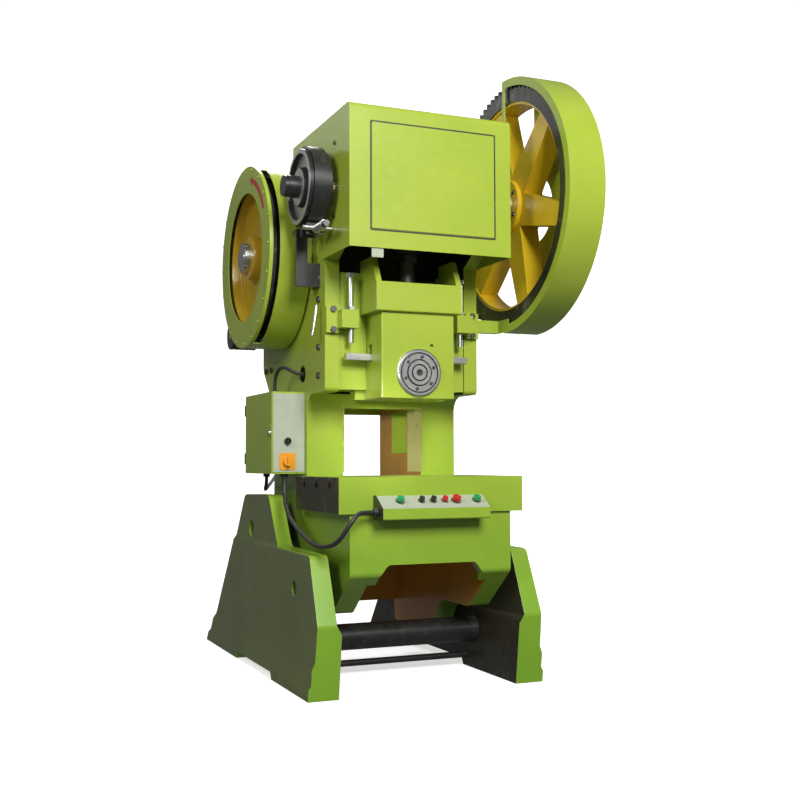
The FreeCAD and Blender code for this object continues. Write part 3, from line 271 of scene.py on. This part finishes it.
FINISH = {
    # The body green takes the full painted shade towards the bottom.
    "green_paint": enamel("green_paint", (0.395, 0.505, 0.048), (0.34, 0.46, 0.038), dust=0.08, chips=0.12,
                          low=1.0),
    "yellow_paint": enamel("yellow_paint", (0.58, 0.385, 0.016), (0.44, 0.28, 0.012), dust=0.12),
    "orange_paint": enamel("orange_paint", (0.66, 0.33, 0.04), (0.50, 0.25, 0.03), dust=0.12, chips=0.1),
    "black_paint": enamel("black_paint", (0.014, 0.014, 0.014), (0.022, 0.021, 0.020), dust=0.05, chips=0.1,
                          gloss=0.3),
    "pale_panel": enamel("pale_panel", (0.45, 0.50, 0.385), (0.41, 0.45, 0.35), dust=0.1, chips=0.1),
    "bright_steel": metal("bright_steel", (0.66, 0.67, 0.66), (0.30, 0.28, 0.22)),
    "dark_steel": metal("dark_steel", (0.13, 0.13, 0.125), (0.05, 0.045, 0.035), gloss=0.32),
    "bronze": metal("bronze", (0.72, 0.46, 0.18), (0.30, 0.18, 0.07)),
    "belt_rubber": enamel("belt_rubber", (0.022, 0.022, 0.022), (0.035, 0.034, 0.032), gloss=0.6, coat=0.0),
    "cable_sheath": enamel("cable_sheath", (0.02, 0.02, 0.02), (0.03, 0.03, 0.03), gloss=0.42, coat=0.0),
    "green_plastic": enamel("green_plastic", (0.02, 0.34, 0.10), (0.02, 0.28, 0.08), 0.05, 0.0, 0.16),
    "red_plastic": enamel("red_plastic", (0.62, 0.02, 0.02), (0.5, 0.015, 0.015), 0.05, 0.0, 0.16),
    "black_plastic": enamel("black_plastic", (0.02, 0.02, 0.02), (0.03, 0.03, 0.03), 0.1, 0.0, 0.22),
    "orange_plastic": enamel("orange_plastic", (0.85, 0.36, 0.03), (0.75, 0.30, 0.02), 0.05, 0.0, 0.2),
}
print(len(FINISH), "finishes")

# %% [markdown]
# ## Castings with soft edges
# Sand-cast iron has no sharp corner: edges come out of the mould with a few millimetres of radius and
# the paint rounds them further. Each casting and cover is copied from its own construction mesh, its
# loose triangles are merged into whole faces, and a bevel that reads the angle between faces rounds
# what is sharp. Round stretches are shallow enough to be left alone. A second modifier then weighs the
# normals by area, so that large faces stay flat to the eye. The copy stands for the node.

# %% Rounding copies of the nodes
PLANE_ANGLE = math.radians(0.6)
EDGE_ANGLE = math.radians(32)
SMOOTH_ANGLE = math.radians(33)


def place(piece, body, slot, *nodes):
    """Puts a finished piece on its body and hides the nodes that it stands for; slot is not used."""
    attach(piece, body)
    if nodes:
        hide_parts(*nodes)
    return piece


def mesh_piece(name, shape, material):
    mesh = bpy.data.meshes.new(name)
    shape.to_mesh(mesh)
    shape.free()
    mesh.materials.append(material)
    piece = bpy.data.objects.new(name, mesh)
    bpy.context.scene.collection.objects.link(piece)
    return piece


def apply_modifiers(piece):
    """Turns the evaluated object into a plain mesh and drops its modifiers."""
    bpy.context.view_layer.update()
    done = bpy.data.meshes.new_from_object(piece.evaluated_get(bpy.context.evaluated_depsgraph_get()))
    piece.modifiers.clear()
    piece.data = done
    return piece


def smooth_by_angle(mesh, angle=SMOOTH_ANGLE):
    mesh.shade_smooth()
    mesh.set_sharp_from_angle(angle=angle)


def soften(node, width):
    shape = bmesh.new()
    shape.from_mesh(NODES[node].data)
    bmesh.ops.remove_doubles(shape, verts=shape.verts, dist=0.00002)
    bmesh.ops.dissolve_limit(shape, angle_limit=PLANE_ANGLE, verts=shape.verts, edges=shape.edges,
                             delimit={"NORMAL"})
    slot = SLOT_OF[node]
    piece = mesh_piece(node + "_cast", shape, FINISH[slot])
    rounding = piece.modifiers.new("edges", "BEVEL")
    rounding.width = width
    rounding.segments = 2
    rounding.limit_method = "ANGLE"
    rounding.angle_limit = EDGE_ANGLE
    rounding.harden_normals = False
    apply_modifiers(piece)
    smooth_by_angle(piece.data)
    flatness = piece.modifiers.new("flatness", "WEIGHTED_NORMAL")
    flatness.keep_sharp = True
    apply_modifiers(piece)
    return place(piece, BODY_OF[node], slot, node)


SOFT_EDGES = {
    "left_leg": 0.006, "right_leg": 0.006, "c_frame": 0.004, "table": 0.0015, "slide": 0.003,
    "hood": 0.0012, "gear_guard": 0.0008, "flywheel_guard": 0.0008, "gibs": 0.002, "stop_brackets": 0.002,
    "motor_bracket": 0.002, "control_box": 0.001, "box_door": 0.001, "box_front_panel": 0.0008,
    "brake_bracket": 0.0015, "knockout_bar": 0.0015, "console": 0.001, "connecting_rod": 0.003,
    "rod_cap": 0.003, "isolator_handle": 0.001, "selector_knob": 0.001,
}
SOFTENED = {node: soften(node, width) for node, width in SOFT_EDGES.items()}
print(len(SOFTENED), "castings and covers rounded,", sum(len(p.data.polygons) for p in SOFTENED.values()),
      "faces")

# %% [markdown]
# ## Nodes that keep their own mesh
# Shafts, bushes, screws and buttons are already turned shapes, so they keep the construction mesh and
# only take a finish. Their round faces are smoothed by angle, which moves no point.

# %% Finishing the rest
for name, node in NODES.items():
    if name in SOFTENED:
        continue
    node.data.materials.clear()
    node.data.materials.append(FINISH[SLOT_OF[name]])
    smooth_by_angle(node.data)
print(len(NODES) - len(SOFTENED), "nodes keep their mesh")

# %% [markdown]
# ## Cords
# Three covered cables are held by glands: the console's conduit, the motor's hose and a short loop on
# top of the control box. Each is one smooth NURBS through the same route points as its tube in the
# frame, so it has the real length and stays within the space kept for it.

# %% Routes
CONDUIT = [(-.430, -.262, .859), (-.430, -.262, .795), (-.438, -.300, .732), (-.448, -.390, .680),
           (-.452, -.500, .642), (-.454, -.620, .608), (-.452, -.730, .584), (-.440, -.832, .580),
           (-.418, -.918, .606), (-.392, -.958, .668), (-.352, -.950, .716), (-.300, -.912, .716),
           (-.258, -.912, .716)]
MOTOR_HOSE = [(-.425, .030, .859), (-.425, .030, .812), (-.420, .070, .785), (-.398, .135, .784),
              (-.366, .205, .796), (-.318, .285, .826), (-.262, .350, .880), (-.205, .400, .950),
              (-.160, .432, 1.030), (-.130, .448, 1.115), (-.115, .454, 1.205), (-.111, .451, 1.295),
              (-.110, .440, 1.385), (-.110, .440, 1.465)]
BOX_LOOP = [(-.430, -.110, 1.212), (-.430, -.110, 1.262), (-.430, -.138, 1.304), (-.426, -.188, 1.326),
            (-.414, -.238, 1.320), (-.386, -.268, 1.296), (-.344, -.268, 1.291)]


def cable(name, route, radius, node):
    curve = bpy.data.curves.new(name, "CURVE")
    curve.dimensions = "3D"
    curve.bevel_depth = radius
    curve.bevel_resolution = 5
    curve.resolution_u = 12
    curve.use_fill_caps = True
    spline = curve.splines.new("NURBS")
    spline.points.add(len(route) - 1)
    for point, where in zip(spline.points, route):
        point.co = (*where, 1)
    spline.order_u = 3
    spline.use_endpoint_u = True
    curve.materials.append(FINISH["cable_sheath"])
    piece = bpy.data.objects.new(name, curve)
    bpy.context.scene.collection.objects.link(piece)
    place(piece, "frame", "cable_sheath", node)
    return piece


cable("console_cable", CONDUIT, 0.009, "console_conduit")
cable("motor_cable", MOTOR_HOSE, 0.008, "motor_hose")
cable("box_cable", BOX_LOOP, 0.008, "box_loop")
print("three cables")

# %% [markdown]
# ## Faces in another colour
# The press is sprayed in more than one colour: the inside of the uprights and of the bed is orange,
# the gear's rim is black with grease and the drum's end is bare metal. Painted shade darkens other
# faces: dark olive on the legs' outer sides, near black on their inner sides, inside the head and in
# the table's slots. The gear's web takes a brighter copy of the wheels' yellow, as painted light. A
# second material goes on the faces that a test picks by their place and direction, which is how a
# sprayer masks them.

# %% Masking and spraying
FINISH["shadow_paint"] = enamel("shadow_paint", (0.050, 0.045, 0.022), (0.030, 0.027, 0.016), gloss=0.45,
                                coat=0.1)
# Dark olive standing in for the shade on the legs' outer sides.
FINISH["olive_painted_shade"] = enamel("olive_painted_shade", (0.15, 0.19, 0.045), (0.12, 0.15, 0.04), dust=0.1)
# A brighter copy of the wheels' yellow, standing in for the light on the gear's spokes.
FINISH["spoke_lit_yellow"] = enamel("spoke_lit_yellow", (0.90, 0.61, 0.020), (0.72, 0.47, 0.016), dust=0.05)
# Pale cream standing in for the highlight along the front edge of the uprights' inner faces.
FINISH["pale_highlight_cream"] = enamel("pale_highlight_cream", (0.80, 0.78, 0.28), (0.74, 0.70, 0.22), dust=0.1)
FINISH["gear_grease"] = enamel("gear_grease", (0.012, 0.012, 0.011), (0.03, 0.027, 0.02), dust=0.3,
                               chips=0.9, gloss=0.28)
FINISH["bare_cast"] = metal("bare_cast", (0.74, 0.74, 0.70), (0.46, 0.44, 0.36), stained=0.5, gloss=0.34,
                            fineness=420.0)


def spray(piece, colour, test):
    mesh = piece.data
    mesh.materials.append(FINISH[colour])
    index = len(mesh.materials) - 1
    count = 0
    for face in mesh.polygons:
        if test(face.center, face.normal):
            face.material_index = index
            count += 1
    print(piece.name, colour, count, "faces")


def from_crank(point):
    return math.hypot(point.y - CRANK.y, point.z - CRANK.z)


def from_back_shaft(point):
    return math.hypot(point.y - BACK_SHAFT.y, point.z - BACK_SHAFT.z)


HEAD_FLOOR, TABLE_LEVEL, BED_CEILING = 1.201, 0.70, 0.66
CHEEK_INSIDE, BED_INSIDE = 0.289, 0.26
UPRIGHT_FRONT, BED_MOUTH = -0.34, -0.80
casting = SOFTENED["c_frame"]
spray(casting, "orange_paint",
      lambda c, n: abs(c.x) < CHEEK_INSIDE and TABLE_LEVEL < c.z < HEAD_FLOOR and c.y > UPRIGHT_FRONT
      and n.x * c.x < -0.05
      or abs(c.x) < BED_INSIDE and c.z < BED_CEILING and c.y > BED_MOUTH)
# Near black painted shade inside the head, above its floor.
spray(casting, "shadow_paint",
      lambda c, n: abs(c.x) < CHEEK_INSIDE and c.z > HEAD_FLOOR and c.y < 0.0)
# Painted shade on the legs: near black on the faces that look inward and dark olive on the outer sides.
for leg, side in (("left_leg", -1), ("right_leg", 1)):
    spray(SOFTENED[leg], "shadow_paint", lambda c, n, side=side: n.x * side < -0.5)
    spray(SOFTENED[leg], "olive_painted_shade", lambda c, n, side=side: n.x * side > 0.8)
# The table's T-slots are painted near black inside, as painted shade.
SLOT_LINES, SLOT_HALF, SLOT_FLOOR, SLOT_LIP = (-0.76, -0.60, -0.44), 0.0195, 0.80, 0.8493
spray(SOFTENED["table"], "shadow_paint",
      lambda c, n: SLOT_FLOOR < c.z < SLOT_LIP and min(abs(c.y - y) for y in SLOT_LINES) < SLOT_HALF)
SHAFT_RADIUS, SHAFT_END = 0.04, -0.40
spray(NODES["brake_drum"], "bare_cast", lambda c, n: n.x < -0.7 and from_crank(c) > SHAFT_RADIUS)
spray(NODES["crankshaft"], "black_paint", lambda c, n: c.x < SHAFT_END)
RIM_PAINT, WHEEL_RIM = 0.456, 0.33
spray(NODES["spoked_gear"], "gear_grease", lambda c, n: from_crank(c) > RIM_PAINT)
# The gear's web inside the greasy rim takes the brighter yellow, as painted light.
spray(NODES["spoked_gear"], "spoke_lit_yellow", lambda c, n: from_crank(c) <= RIM_PAINT)
spray(NODES["flywheel"], "black_paint", lambda c, n: from_back_shaft(c) > WHEEL_RIM)
spray(SOFTENED["console"], "pale_panel", lambda c, n: n.z > 0.4 and n.y < -0.1)

# %% [markdown]
# ## The hood's panel and trim
# The hood is folded sheet with a flat panel set into its front, held in a shallow groove. The groove is
# drawn as a thin near black plate behind the panel, painted shade. The panel is a plate a little proud
# of the sheet, with rounded corners and edges. The same plate makes the cream bands of painted highlight
# inside the uprights, the isolator's plate and the hood's catch.


# %% Plates with rounded corners
def rounded_plate(name, width, height, thick, corner, material, edge=0.0008):
    """Plate in the XZ plane, its back at Y = 0 and its front at -thick, with soft edges."""
    shape = bmesh.new()
    steps = 6
    outline = []
    for cx, cz, start in ((1, 1, 0), (-1, 1, 90), (-1, -1, 180), (1, -1, 270)):
        for k in range(steps + 1):
            angle = math.radians(start + 90 * k / steps)
            outline.append((cx * (width / 2 - corner) + corner * math.cos(angle),
                            cz * (height / 2 - corner) + corner * math.sin(angle)))
    low = [shape.verts.new((x, 0, z)) for x, z in outline]
    face = shape.faces.new(low)
    front = bmesh.ops.extrude_face_region(shape, geom=[face])["geom"]
    bmesh.ops.translate(shape, verts=[v for v in front if isinstance(v, bmesh.types.BMVert)],
                        vec=(0, -thick, 0))
    bmesh.ops.recalc_face_normals(shape, faces=shape.faces)
    rims = [e for e in shape.edges if all(abs(v.co.y + thick) < 1e-7 for v in e.verts)]
    bmesh.ops.bevel(shape, geom=rims, offset=edge, segments=2, affect="EDGES")
    piece = mesh_piece(name, shape, FINISH[material])
    smooth_by_angle(piece.data)
    return piece


def move(piece, where, turn=None):
    """Sets a piece's place in its mesh, so that its object stays at the origin."""
    matrix = Matrix.Translation(Vector(where))
    piece.data.transform(matrix @ turn if turn else matrix)
    return piece


panel_width = (HOOD_HIGH.x - HOOD_LOW.x) * 0.76
panel_height = (HOOD_HIGH.z - HOOD_LOW.z) * 0.74
panel_middle = (0.008, HOOD_LOW.y, (HOOD_HIGH.z + HOOD_LOW.z) / 2)
# The groove is a thin near black plate behind the panel, painted shade.
groove = move(rounded_plate("hood_groove_shade", panel_width + 0.014, panel_height + 0.014, 0.0012, 0.006,
                            "shadow_paint", 0.0004), panel_middle)
place(groove, "frame", "green_paint")
panel = move(rounded_plate("hood_panel", panel_width, panel_height, 0.004, 0.005, "green_paint", 0.002),
             panel_middle)
place(panel, "frame", "green_paint")
print("hood panel", round(panel_width, 3), "by", round(panel_height, 3))

# %% Cream bands on the uprights, painted highlight
BAND_FACE, BAND_MIDDLE, BAND_LEVEL = 0.1847, -0.262, 1.030
for side in (-1, 1):
    band = rounded_plate("upright_highlight_band", 0.164, 0.330, 0.0004, 0.001, "pale_highlight_cream", 0.0001)
    move(band, (side * BAND_FACE, BAND_MIDDLE, BAND_LEVEL),
         Matrix.Rotation(math.radians(-90 * side), 4, "Z"))
    place(band, "frame", "green_paint")
print("two bands")

# %% Small trim of the head and box
BOX_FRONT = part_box("box_front_panel")[0].y
HANDLE = middle_of("isolator_handle")
isolator = move(rounded_plate("isolator_plate", 0.073, 0.073, 0.0035, 0.010, "orange_plastic", 0.001),
                (HANDLE.x, BOX_FRONT, HANDLE.z))
place(isolator, "frame", "orange_plastic")
lip = move(rounded_plate("hood_catch", 0.050, 0.042, 0.006, 0.004, "pale_panel", 0.001),
           (-0.235, HOOD_LOW.y + 0.012, HOOD_LOW.z - 0.016))
place(lip, "frame", "pale_panel")
print("isolator plate and hood catch")

# %% [markdown]
# ## Bolt circles, rivets and fins
# What repeats comes from one small Geometry Nodes tree: a head or fin is made once and instanced round
# a circle. The tree takes the count, the circle's radius and the head's size. It ends in Realize
# Instances and Set Material, and its result is kept as a plain mesh.


# %% The ring tree
def ring_tree():
    tree = bpy.data.node_groups.new("ring_of_heads", "GeometryNodeTree")
    for title, kind, value in (("Count", "NodeSocketInt", 6), ("Radius", "NodeSocketFloat", 0.08),
                               ("Head", "NodeSocketFloat", 0.008), ("Depth", "NodeSocketFloat", 0.006),
                               ("Sides", "NodeSocketInt", 6), ("Finish", "NodeSocketMaterial", None)):
        socket = tree.interface.new_socket(title, in_out="INPUT", socket_type=kind)
        if value is not None:
            socket.default_value = value
    tree.interface.new_socket("Geometry", in_out="OUTPUT", socket_type="NodeSocketGeometry")
    given = tree.nodes.new("NodeGroupInput").outputs
    circle = add(tree, "GeometryNodeMeshCircle", input_Vertices=given["Count"],
                 input_Radius=given["Radius"])
    head = add(tree, "GeometryNodeMeshCone", input_Vertices=given["Sides"],
               input_Radius_Bottom=given["Head"], input_Depth=given["Depth"])
    smaller = add(tree, "ShaderNodeMath", operation="MULTIPLY", input_0=given["Head"], input_1=0.9)
    tree.links.new(smaller.outputs[0], head.inputs["Radius Top"])
    spread = add(tree, "GeometryNodeInstanceOnPoints", input_Points=circle.outputs[0],
                 input_Instance=head.outputs[0])
    real = add(tree, "GeometryNodeRealizeInstances", input_0=spread.outputs[0])
    painted = add(tree, "GeometryNodeSetMaterial", input_Geometry=real.outputs[0],
                  input_Material=given["Finish"])
    out = tree.nodes.new("NodeGroupOutput")
    tree.links.new(painted.outputs[0], out.inputs["Geometry"])
    return tree


RING = ring_tree()
INWARD = {"-Y": Matrix.Rotation(math.radians(90), 4, "X"), "-X": Matrix.Rotation(math.radians(-90), 4, "Y"),
          "+X": Matrix.Rotation(math.radians(90), 4, "Y")}


def ring_of_heads(name, body, slot, where, facing, turn=0.0, **values):
    piece = bpy.data.objects.new(name, bpy.data.meshes.new(name))
    bpy.context.scene.collection.objects.link(piece)
    modifier = piece.modifiers.new("ring", "NODES")
    modifier.node_group = RING
    sockets = {item.name: item.identifier for item in RING.interface.items_tree if item.in_out == "INPUT"}
    for key, value in {**values, "Finish": FINISH[slot]}.items():
        modifier[sockets[key]] = value
    apply_modifiers(piece)
    piece.data.transform(INWARD[facing] @ Matrix.Rotation(math.radians(turn), 4, "Z"))
    move(piece, where)
    return place(piece, body, slot)


ring_of_heads("hub_bolts", "gear", "dark_steel", (0.478, CRANK.y, CRANK.z), "-X", Count=6, Radius=0.096,
              Head=0.010, Depth=0.010, Sides=6)
ring_of_heads("collar_bolts", "crank", "dark_steel", (0.625, CRANK.y, CRANK.z), "+X", Count=6,
              Radius=0.072, Head=0.008, Depth=0.008, Sides=6)
ring_of_heads("guard_rivets", "frame", "green_paint", (-0.5455, BACK_SHAFT.y, BACK_SHAFT.z), "-X",
              Count=20, Radius=0.392, Head=0.006, Depth=0.004, Sides=12)
ring_of_heads("fan_screws", "frame", "dark_steel", (0.137, MOTOR.y, MOTOR.z), "+X", Count=4,
              Radius=0.095, Head=0.005, Depth=0.004, Sides=12)
print("bolt circles and rivets")

# %% [markdown]
# ## The round cover
# A turned steel disc closes the front of the slide. Lathe steps and a raised rim show on it, so it is
# a profile spun about its own axis, with a bolt circle between the steps.


# %% Turning profiles
def spun(name, profile, material, around="Y", steps=72):
    """Closed solid from (distance along the axis, radius) points, spun about the axis."""
    shape = bmesh.new()
    rows = []
    for k in range(steps):
        angle = 2 * math.pi * k / steps
        row = []
        for along, radius in profile:
            u, v = radius * math.cos(angle), radius * math.sin(angle)
            row.append(shape.verts.new((u, along, v) if around == "Y" else (along, u, v)))
        rows.append(row)
    for k in range(steps):
        one, two = rows[k], rows[(k + 1) % steps]
        for i in range(len(profile) - 1):
            shape.faces.new((one[i], one[i + 1], two[i + 1], two[i]))
    bmesh.ops.remove_doubles(shape, verts=shape.verts, dist=1e-6)
    bmesh.ops.recalc_face_normals(shape, faces=shape.faces)
    piece = mesh_piece(name, shape, FINISH[material])
    smooth_by_angle(piece.data, math.radians(25))
    return piece


COVER = middle_of("round_cover")
COVER_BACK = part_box("round_cover")[1].y
cover = spun("turned_cover", [(0, 0), (0, 0.098), (-0.008, 0.098), (-0.010, 0.096), (-0.012, 0.092),
                              (-0.012, 0.084), (-0.006, 0.083), (-0.006, 0.079), (-0.011, 0.078),
                              (-0.011, 0.056), (-0.005, 0.055), (-0.005, 0.051), (-0.013, 0.050),
                              (-0.013, 0.036), (-0.006, 0.035), (-0.006, 0.031), (-0.013, 0.030),
                              (-0.013, 0.014), (-0.004, 0.012), (-0.004, 0)], "bright_steel")
GROOVES, GROOVE_HALF = (0.081, 0.053, 0.033, 0.006), 0.003
# The turned grooves of the cover are painted near black, as painted shade.
spray(cover, "shadow_paint",
      lambda c, n: min(abs(math.hypot(c.x, c.z) - r) for r in GROOVES) < GROOVE_HALF)
move(cover, (COVER.x, COVER_BACK, COVER.z))
place(cover, "slide", "bright_steel", "round_cover")
ring_of_heads("cover_bolts", "slide", "dark_steel", (COVER.x, COVER_BACK - 0.011, COVER.z), "-Y", 20,
              Count=6, Radius=0.067, Head=0.0075, Depth=0.007, Sides=6)
print("round cover on the slide")

# %% [markdown]
# ## Motor fins and fan cover
# A foot motor sheds its heat through thin fins cast along its barrel. They are one more ring from the
# same tree, stretched along the shaft, and a short stack of rings makes the fan cover's grille.

# %% Fins
MOTOR_LOW, MOTOR_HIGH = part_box("motor")
fins = ring_of_heads("motor_fins", "frame", "green_paint", (0, 0, 0), "+X", Count=40, Radius=0.1135,
                     Head=0.0045, Depth=0.27, Sides=4)
move(fins, ((MOTOR_LOW.x + MOTOR_HIGH.x) / 2 + 0.008, MOTOR.y, MOTOR.z))
for k in range(5):
    radius = 0.022 + 0.02 * k
    grille = spun("fan_grille_%d" % k, [(0, radius), (0.003, radius), (0.003, radius + 0.006),
                                        (0, radius + 0.006), (0, radius)], "black_paint", "X", 48)
    move(grille, (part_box("fan_cover")[1].x, MOTOR.y, MOTOR.z))
    place(grille, "frame", "black_paint")
print("motor fins and grille")

# %% [markdown]
# ## Springs, pins and levers
# The brake's spring is a real helix round its bolt. A bright anchor pin lies under the drum, along the
# shaft, and a thin lever leans against the frame's left side.


# %% Helix and rods
def tube_curve(name, points, radius, slot, body, *nodes, smooth=True):
    curve = bpy.data.curves.new(name, "CURVE")
    curve.dimensions = "3D"
    curve.bevel_depth = radius
    curve.bevel_resolution = 4
    curve.use_fill_caps = True
    spline = curve.splines.new("NURBS" if smooth else "POLY")
    spline.points.add(len(points) - 1)
    for point, where in zip(spline.points, points):
        point.co = (*where, 1)
    if smooth:
        spline.order_u = 3
        spline.use_endpoint_u = True
    curve.materials.append(FINISH[slot])
    piece = bpy.data.objects.new(name, curve)
    bpy.context.scene.collection.objects.link(piece)
    apply = bpy.data.meshes.new_from_object(piece.evaluated_get(bpy.context.evaluated_depsgraph_get()))
    bpy.data.objects.remove(piece)
    solid = bpy.data.objects.new(name, apply)
    bpy.context.scene.collection.objects.link(solid)
    smooth_by_angle(solid.data)
    return place(solid, body, slot, *nodes)


SPRING_LOW, SPRING_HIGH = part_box("brake_spring")
spring_middle = (SPRING_LOW + SPRING_HIGH) / 2
turns, coil_radius = 8, 0.016
spring_points = []
for k in range(turns * 12 + 1):
    angle = 2 * math.pi * k / 12
    along = SPRING_LOW.y + 0.0035 + (SPRING_HIGH.y - SPRING_LOW.y - 0.007) * k / (turns * 12)
    spring_points.append((spring_middle.x + coil_radius * math.cos(angle), along,
                          spring_middle.z + coil_radius * math.sin(angle)))
tube_curve("brake_coil", spring_points, 0.0032, "bright_steel", "frame", "brake_spring")
tube_curve("brake_pin", [(-0.482, -0.672, 1.852), (-0.358, -0.672, 1.852)], 0.011, "bright_steel", "frame",
           smooth=False)
tube_curve("side_lever", [(-0.372, -0.520, 1.560), (-0.385, -0.530, 1.480), (-0.400, -0.545, 1.430)],
           0.007, "bright_steel", "frame")
print("spring, pin and lever")

# %% [markdown]
# ## Direction arrow
# A flywheel guard carries an arrow for the running direction. It is a plain curved strip with a head,
# cut from red sheet film.


# %% Arrow
def direction_arrow():
    shape = bmesh.new()
    inner, outer, thick = 0.338, 0.362, 0.0008
    start, stop, head = math.radians(152), math.radians(112), math.radians(7)
    steps = 16
    upper, under = [], []
    for k in range(steps + 1):
        angle = start + (stop - start) * k / steps
        upper.append((outer * math.cos(angle), outer * math.sin(angle)))
        under.append((inner * math.cos(angle), inner * math.sin(angle)))
    middle, wide = (inner + outer) / 2, 0.024
    tip = stop - head
    point = [((middle + wide) * math.cos(stop), (middle + wide) * math.sin(stop)),
             (middle * math.cos(tip), middle * math.sin(tip)),
             ((middle - wide) * math.cos(stop), (middle - wide) * math.sin(stop))]
    outline = upper + point + list(reversed(under))
    face = shape.faces.new([shape.verts.new((0, y, z)) for y, z in outline])
    made = bmesh.ops.extrude_face_region(shape, geom=[face])["geom"]
    bmesh.ops.translate(shape, verts=[v for v in made if isinstance(v, bmesh.types.BMVert)],
                        vec=(-thick, 0, 0))
    bmesh.ops.recalc_face_normals(shape, faces=shape.faces)
    return mesh_piece("direction_arrow", shape, FINISH["red_plastic"])


GUARD_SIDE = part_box("flywheel_guard")[0].x
arrow = move(direction_arrow(), (GUARD_SIDE, BACK_SHAFT.y, BACK_SHAFT.z))
place(arrow, "frame", "red_plastic")
print("direction arrow")

# %% [markdown]
# ## Camera, floor and light
# A white floor that curves up behind, five broad soft lights as in a studio, and one narrow beam that
# reaches the inside of the uprights. Rays that light the machine pass the floor by, so that its sides
# stay deep in tone while the floor itself is white.

# %% Camera
EYE = Vector((-1.848, -4.883, 0.908))
YAW, PITCH, ROLL = math.radians(23.0), math.radians(3.2), math.radians(-0.17)
ahead = Vector((math.sin(YAW) * math.cos(PITCH), math.cos(YAW) * math.cos(PITCH), math.sin(PITCH)))
lens = bpy.data.cameras.new("camera")
lens.lens = 49.97
lens.sensor_width = 36
camera = bpy.data.objects.new("camera", lens)
turn = ahead.to_track_quat("-Z", "Y").to_matrix().to_4x4() @ Matrix.Rotation(ROLL, 4, "Z")
camera.matrix_world = Matrix.Translation(EYE) @ turn
bpy.context.scene.collection.objects.link(camera)
bpy.context.scene.camera = camera
print("camera at", tuple(EYE))


# %% Floor and lights
def backdrop():
    shape = bmesh.new()
    half, front, back, rise, radius, steps = 9.0, -7.0, 5.0, 7.0, 2.0, 14
    section = [(front, 0.0), (back - radius, 0.0)]
    section += [(back - radius + radius * math.sin(a), radius - radius * math.cos(a))
                for a in (math.pi / 2 * k / steps for k in range(1, steps + 1))]
    section += [(back, rise)]
    rows = [[shape.verts.new((x, y, z)) for y, z in section] for x in (-half, half)]
    for k in range(len(section) - 1):
        shape.faces.new((rows[0][k], rows[1][k], rows[1][k + 1], rows[0][k + 1]))
    material = bpy.data.materials.new("studio_floor")
    material.use_nodes = True
    shader = material.node_tree.nodes["Principled BSDF"]
    for name, value in (("Base Color", (0.86, 0.86, 0.86, 1)), ("Roughness", 0.65),
                        ("Emission Color", (1, 1, 1, 1)), ("Emission Strength", 0.62)):
        shader.inputs[name].default_value = value
    floor = mesh_piece("studio_floor", shape, material)
    floor.data.shade_smooth()
    floor.rotation_euler.z = -YAW
    floor.visible_diffuse = False
    floor.visible_glossy = False
    return floor


def hang_lamp(light, where, aim):
    lamp = bpy.data.objects.new(light.name, light)
    lamp.location = where
    lamp.rotation_euler = (Vector(aim) - Vector(where)).to_track_quat("-Z", "Y").to_euler()
    bpy.context.scene.collection.objects.link(lamp)


def softbox(name, where, aim, size, power):
    light = bpy.data.lights.new(name, "AREA")
    light.energy = power
    light.size = size
    hang_lamp(light, where, aim)


def narrow_beam(name, where, aim, degrees, power):
    light = bpy.data.lights.new(name, "SPOT")
    light.energy = power
    light.spot_size = math.radians(degrees)
    light.spot_blend = 0.7
    light.shadow_soft_size = 0.15
    hang_lamp(light, where, aim)


backdrop()
softbox("key", (-0.4, -7.4, 4.8), (0, -0.4, 1.3), 2.8, 610)
softbox("left", (-3.6, -2.4, 3.0), (-0.4, -0.3, 1.5), 1.4, 60)
softbox("right", (5.5, 1.5, 3.2), (0, 0, 1.3), 2.0, 170)
softbox("back", (0.5, 4.5, 6.0), (0, 0, 1.2), 2.0, 190)
softbox("sheen", (-2.5, 5.2, 4.7), (0, 0, 2.2), 1.6, 9)
narrow_beam("beam", (-1.6, -3.0, 1.25), (0.185, -0.1, 1.0), 9, 330)
bpy.context.scene.view_settings.view_transform = "Standard"
world = bpy.data.worlds.new("studio")
world.use_nodes = True
world.node_tree.nodes["Background"].inputs["Color"].default_value = (1.0, 1.0, 1.0, 1)
world.node_tree.nodes["Background"].inputs["Strength"].default_value = 0.14
bpy.context.scene.world = world
print("studio set")
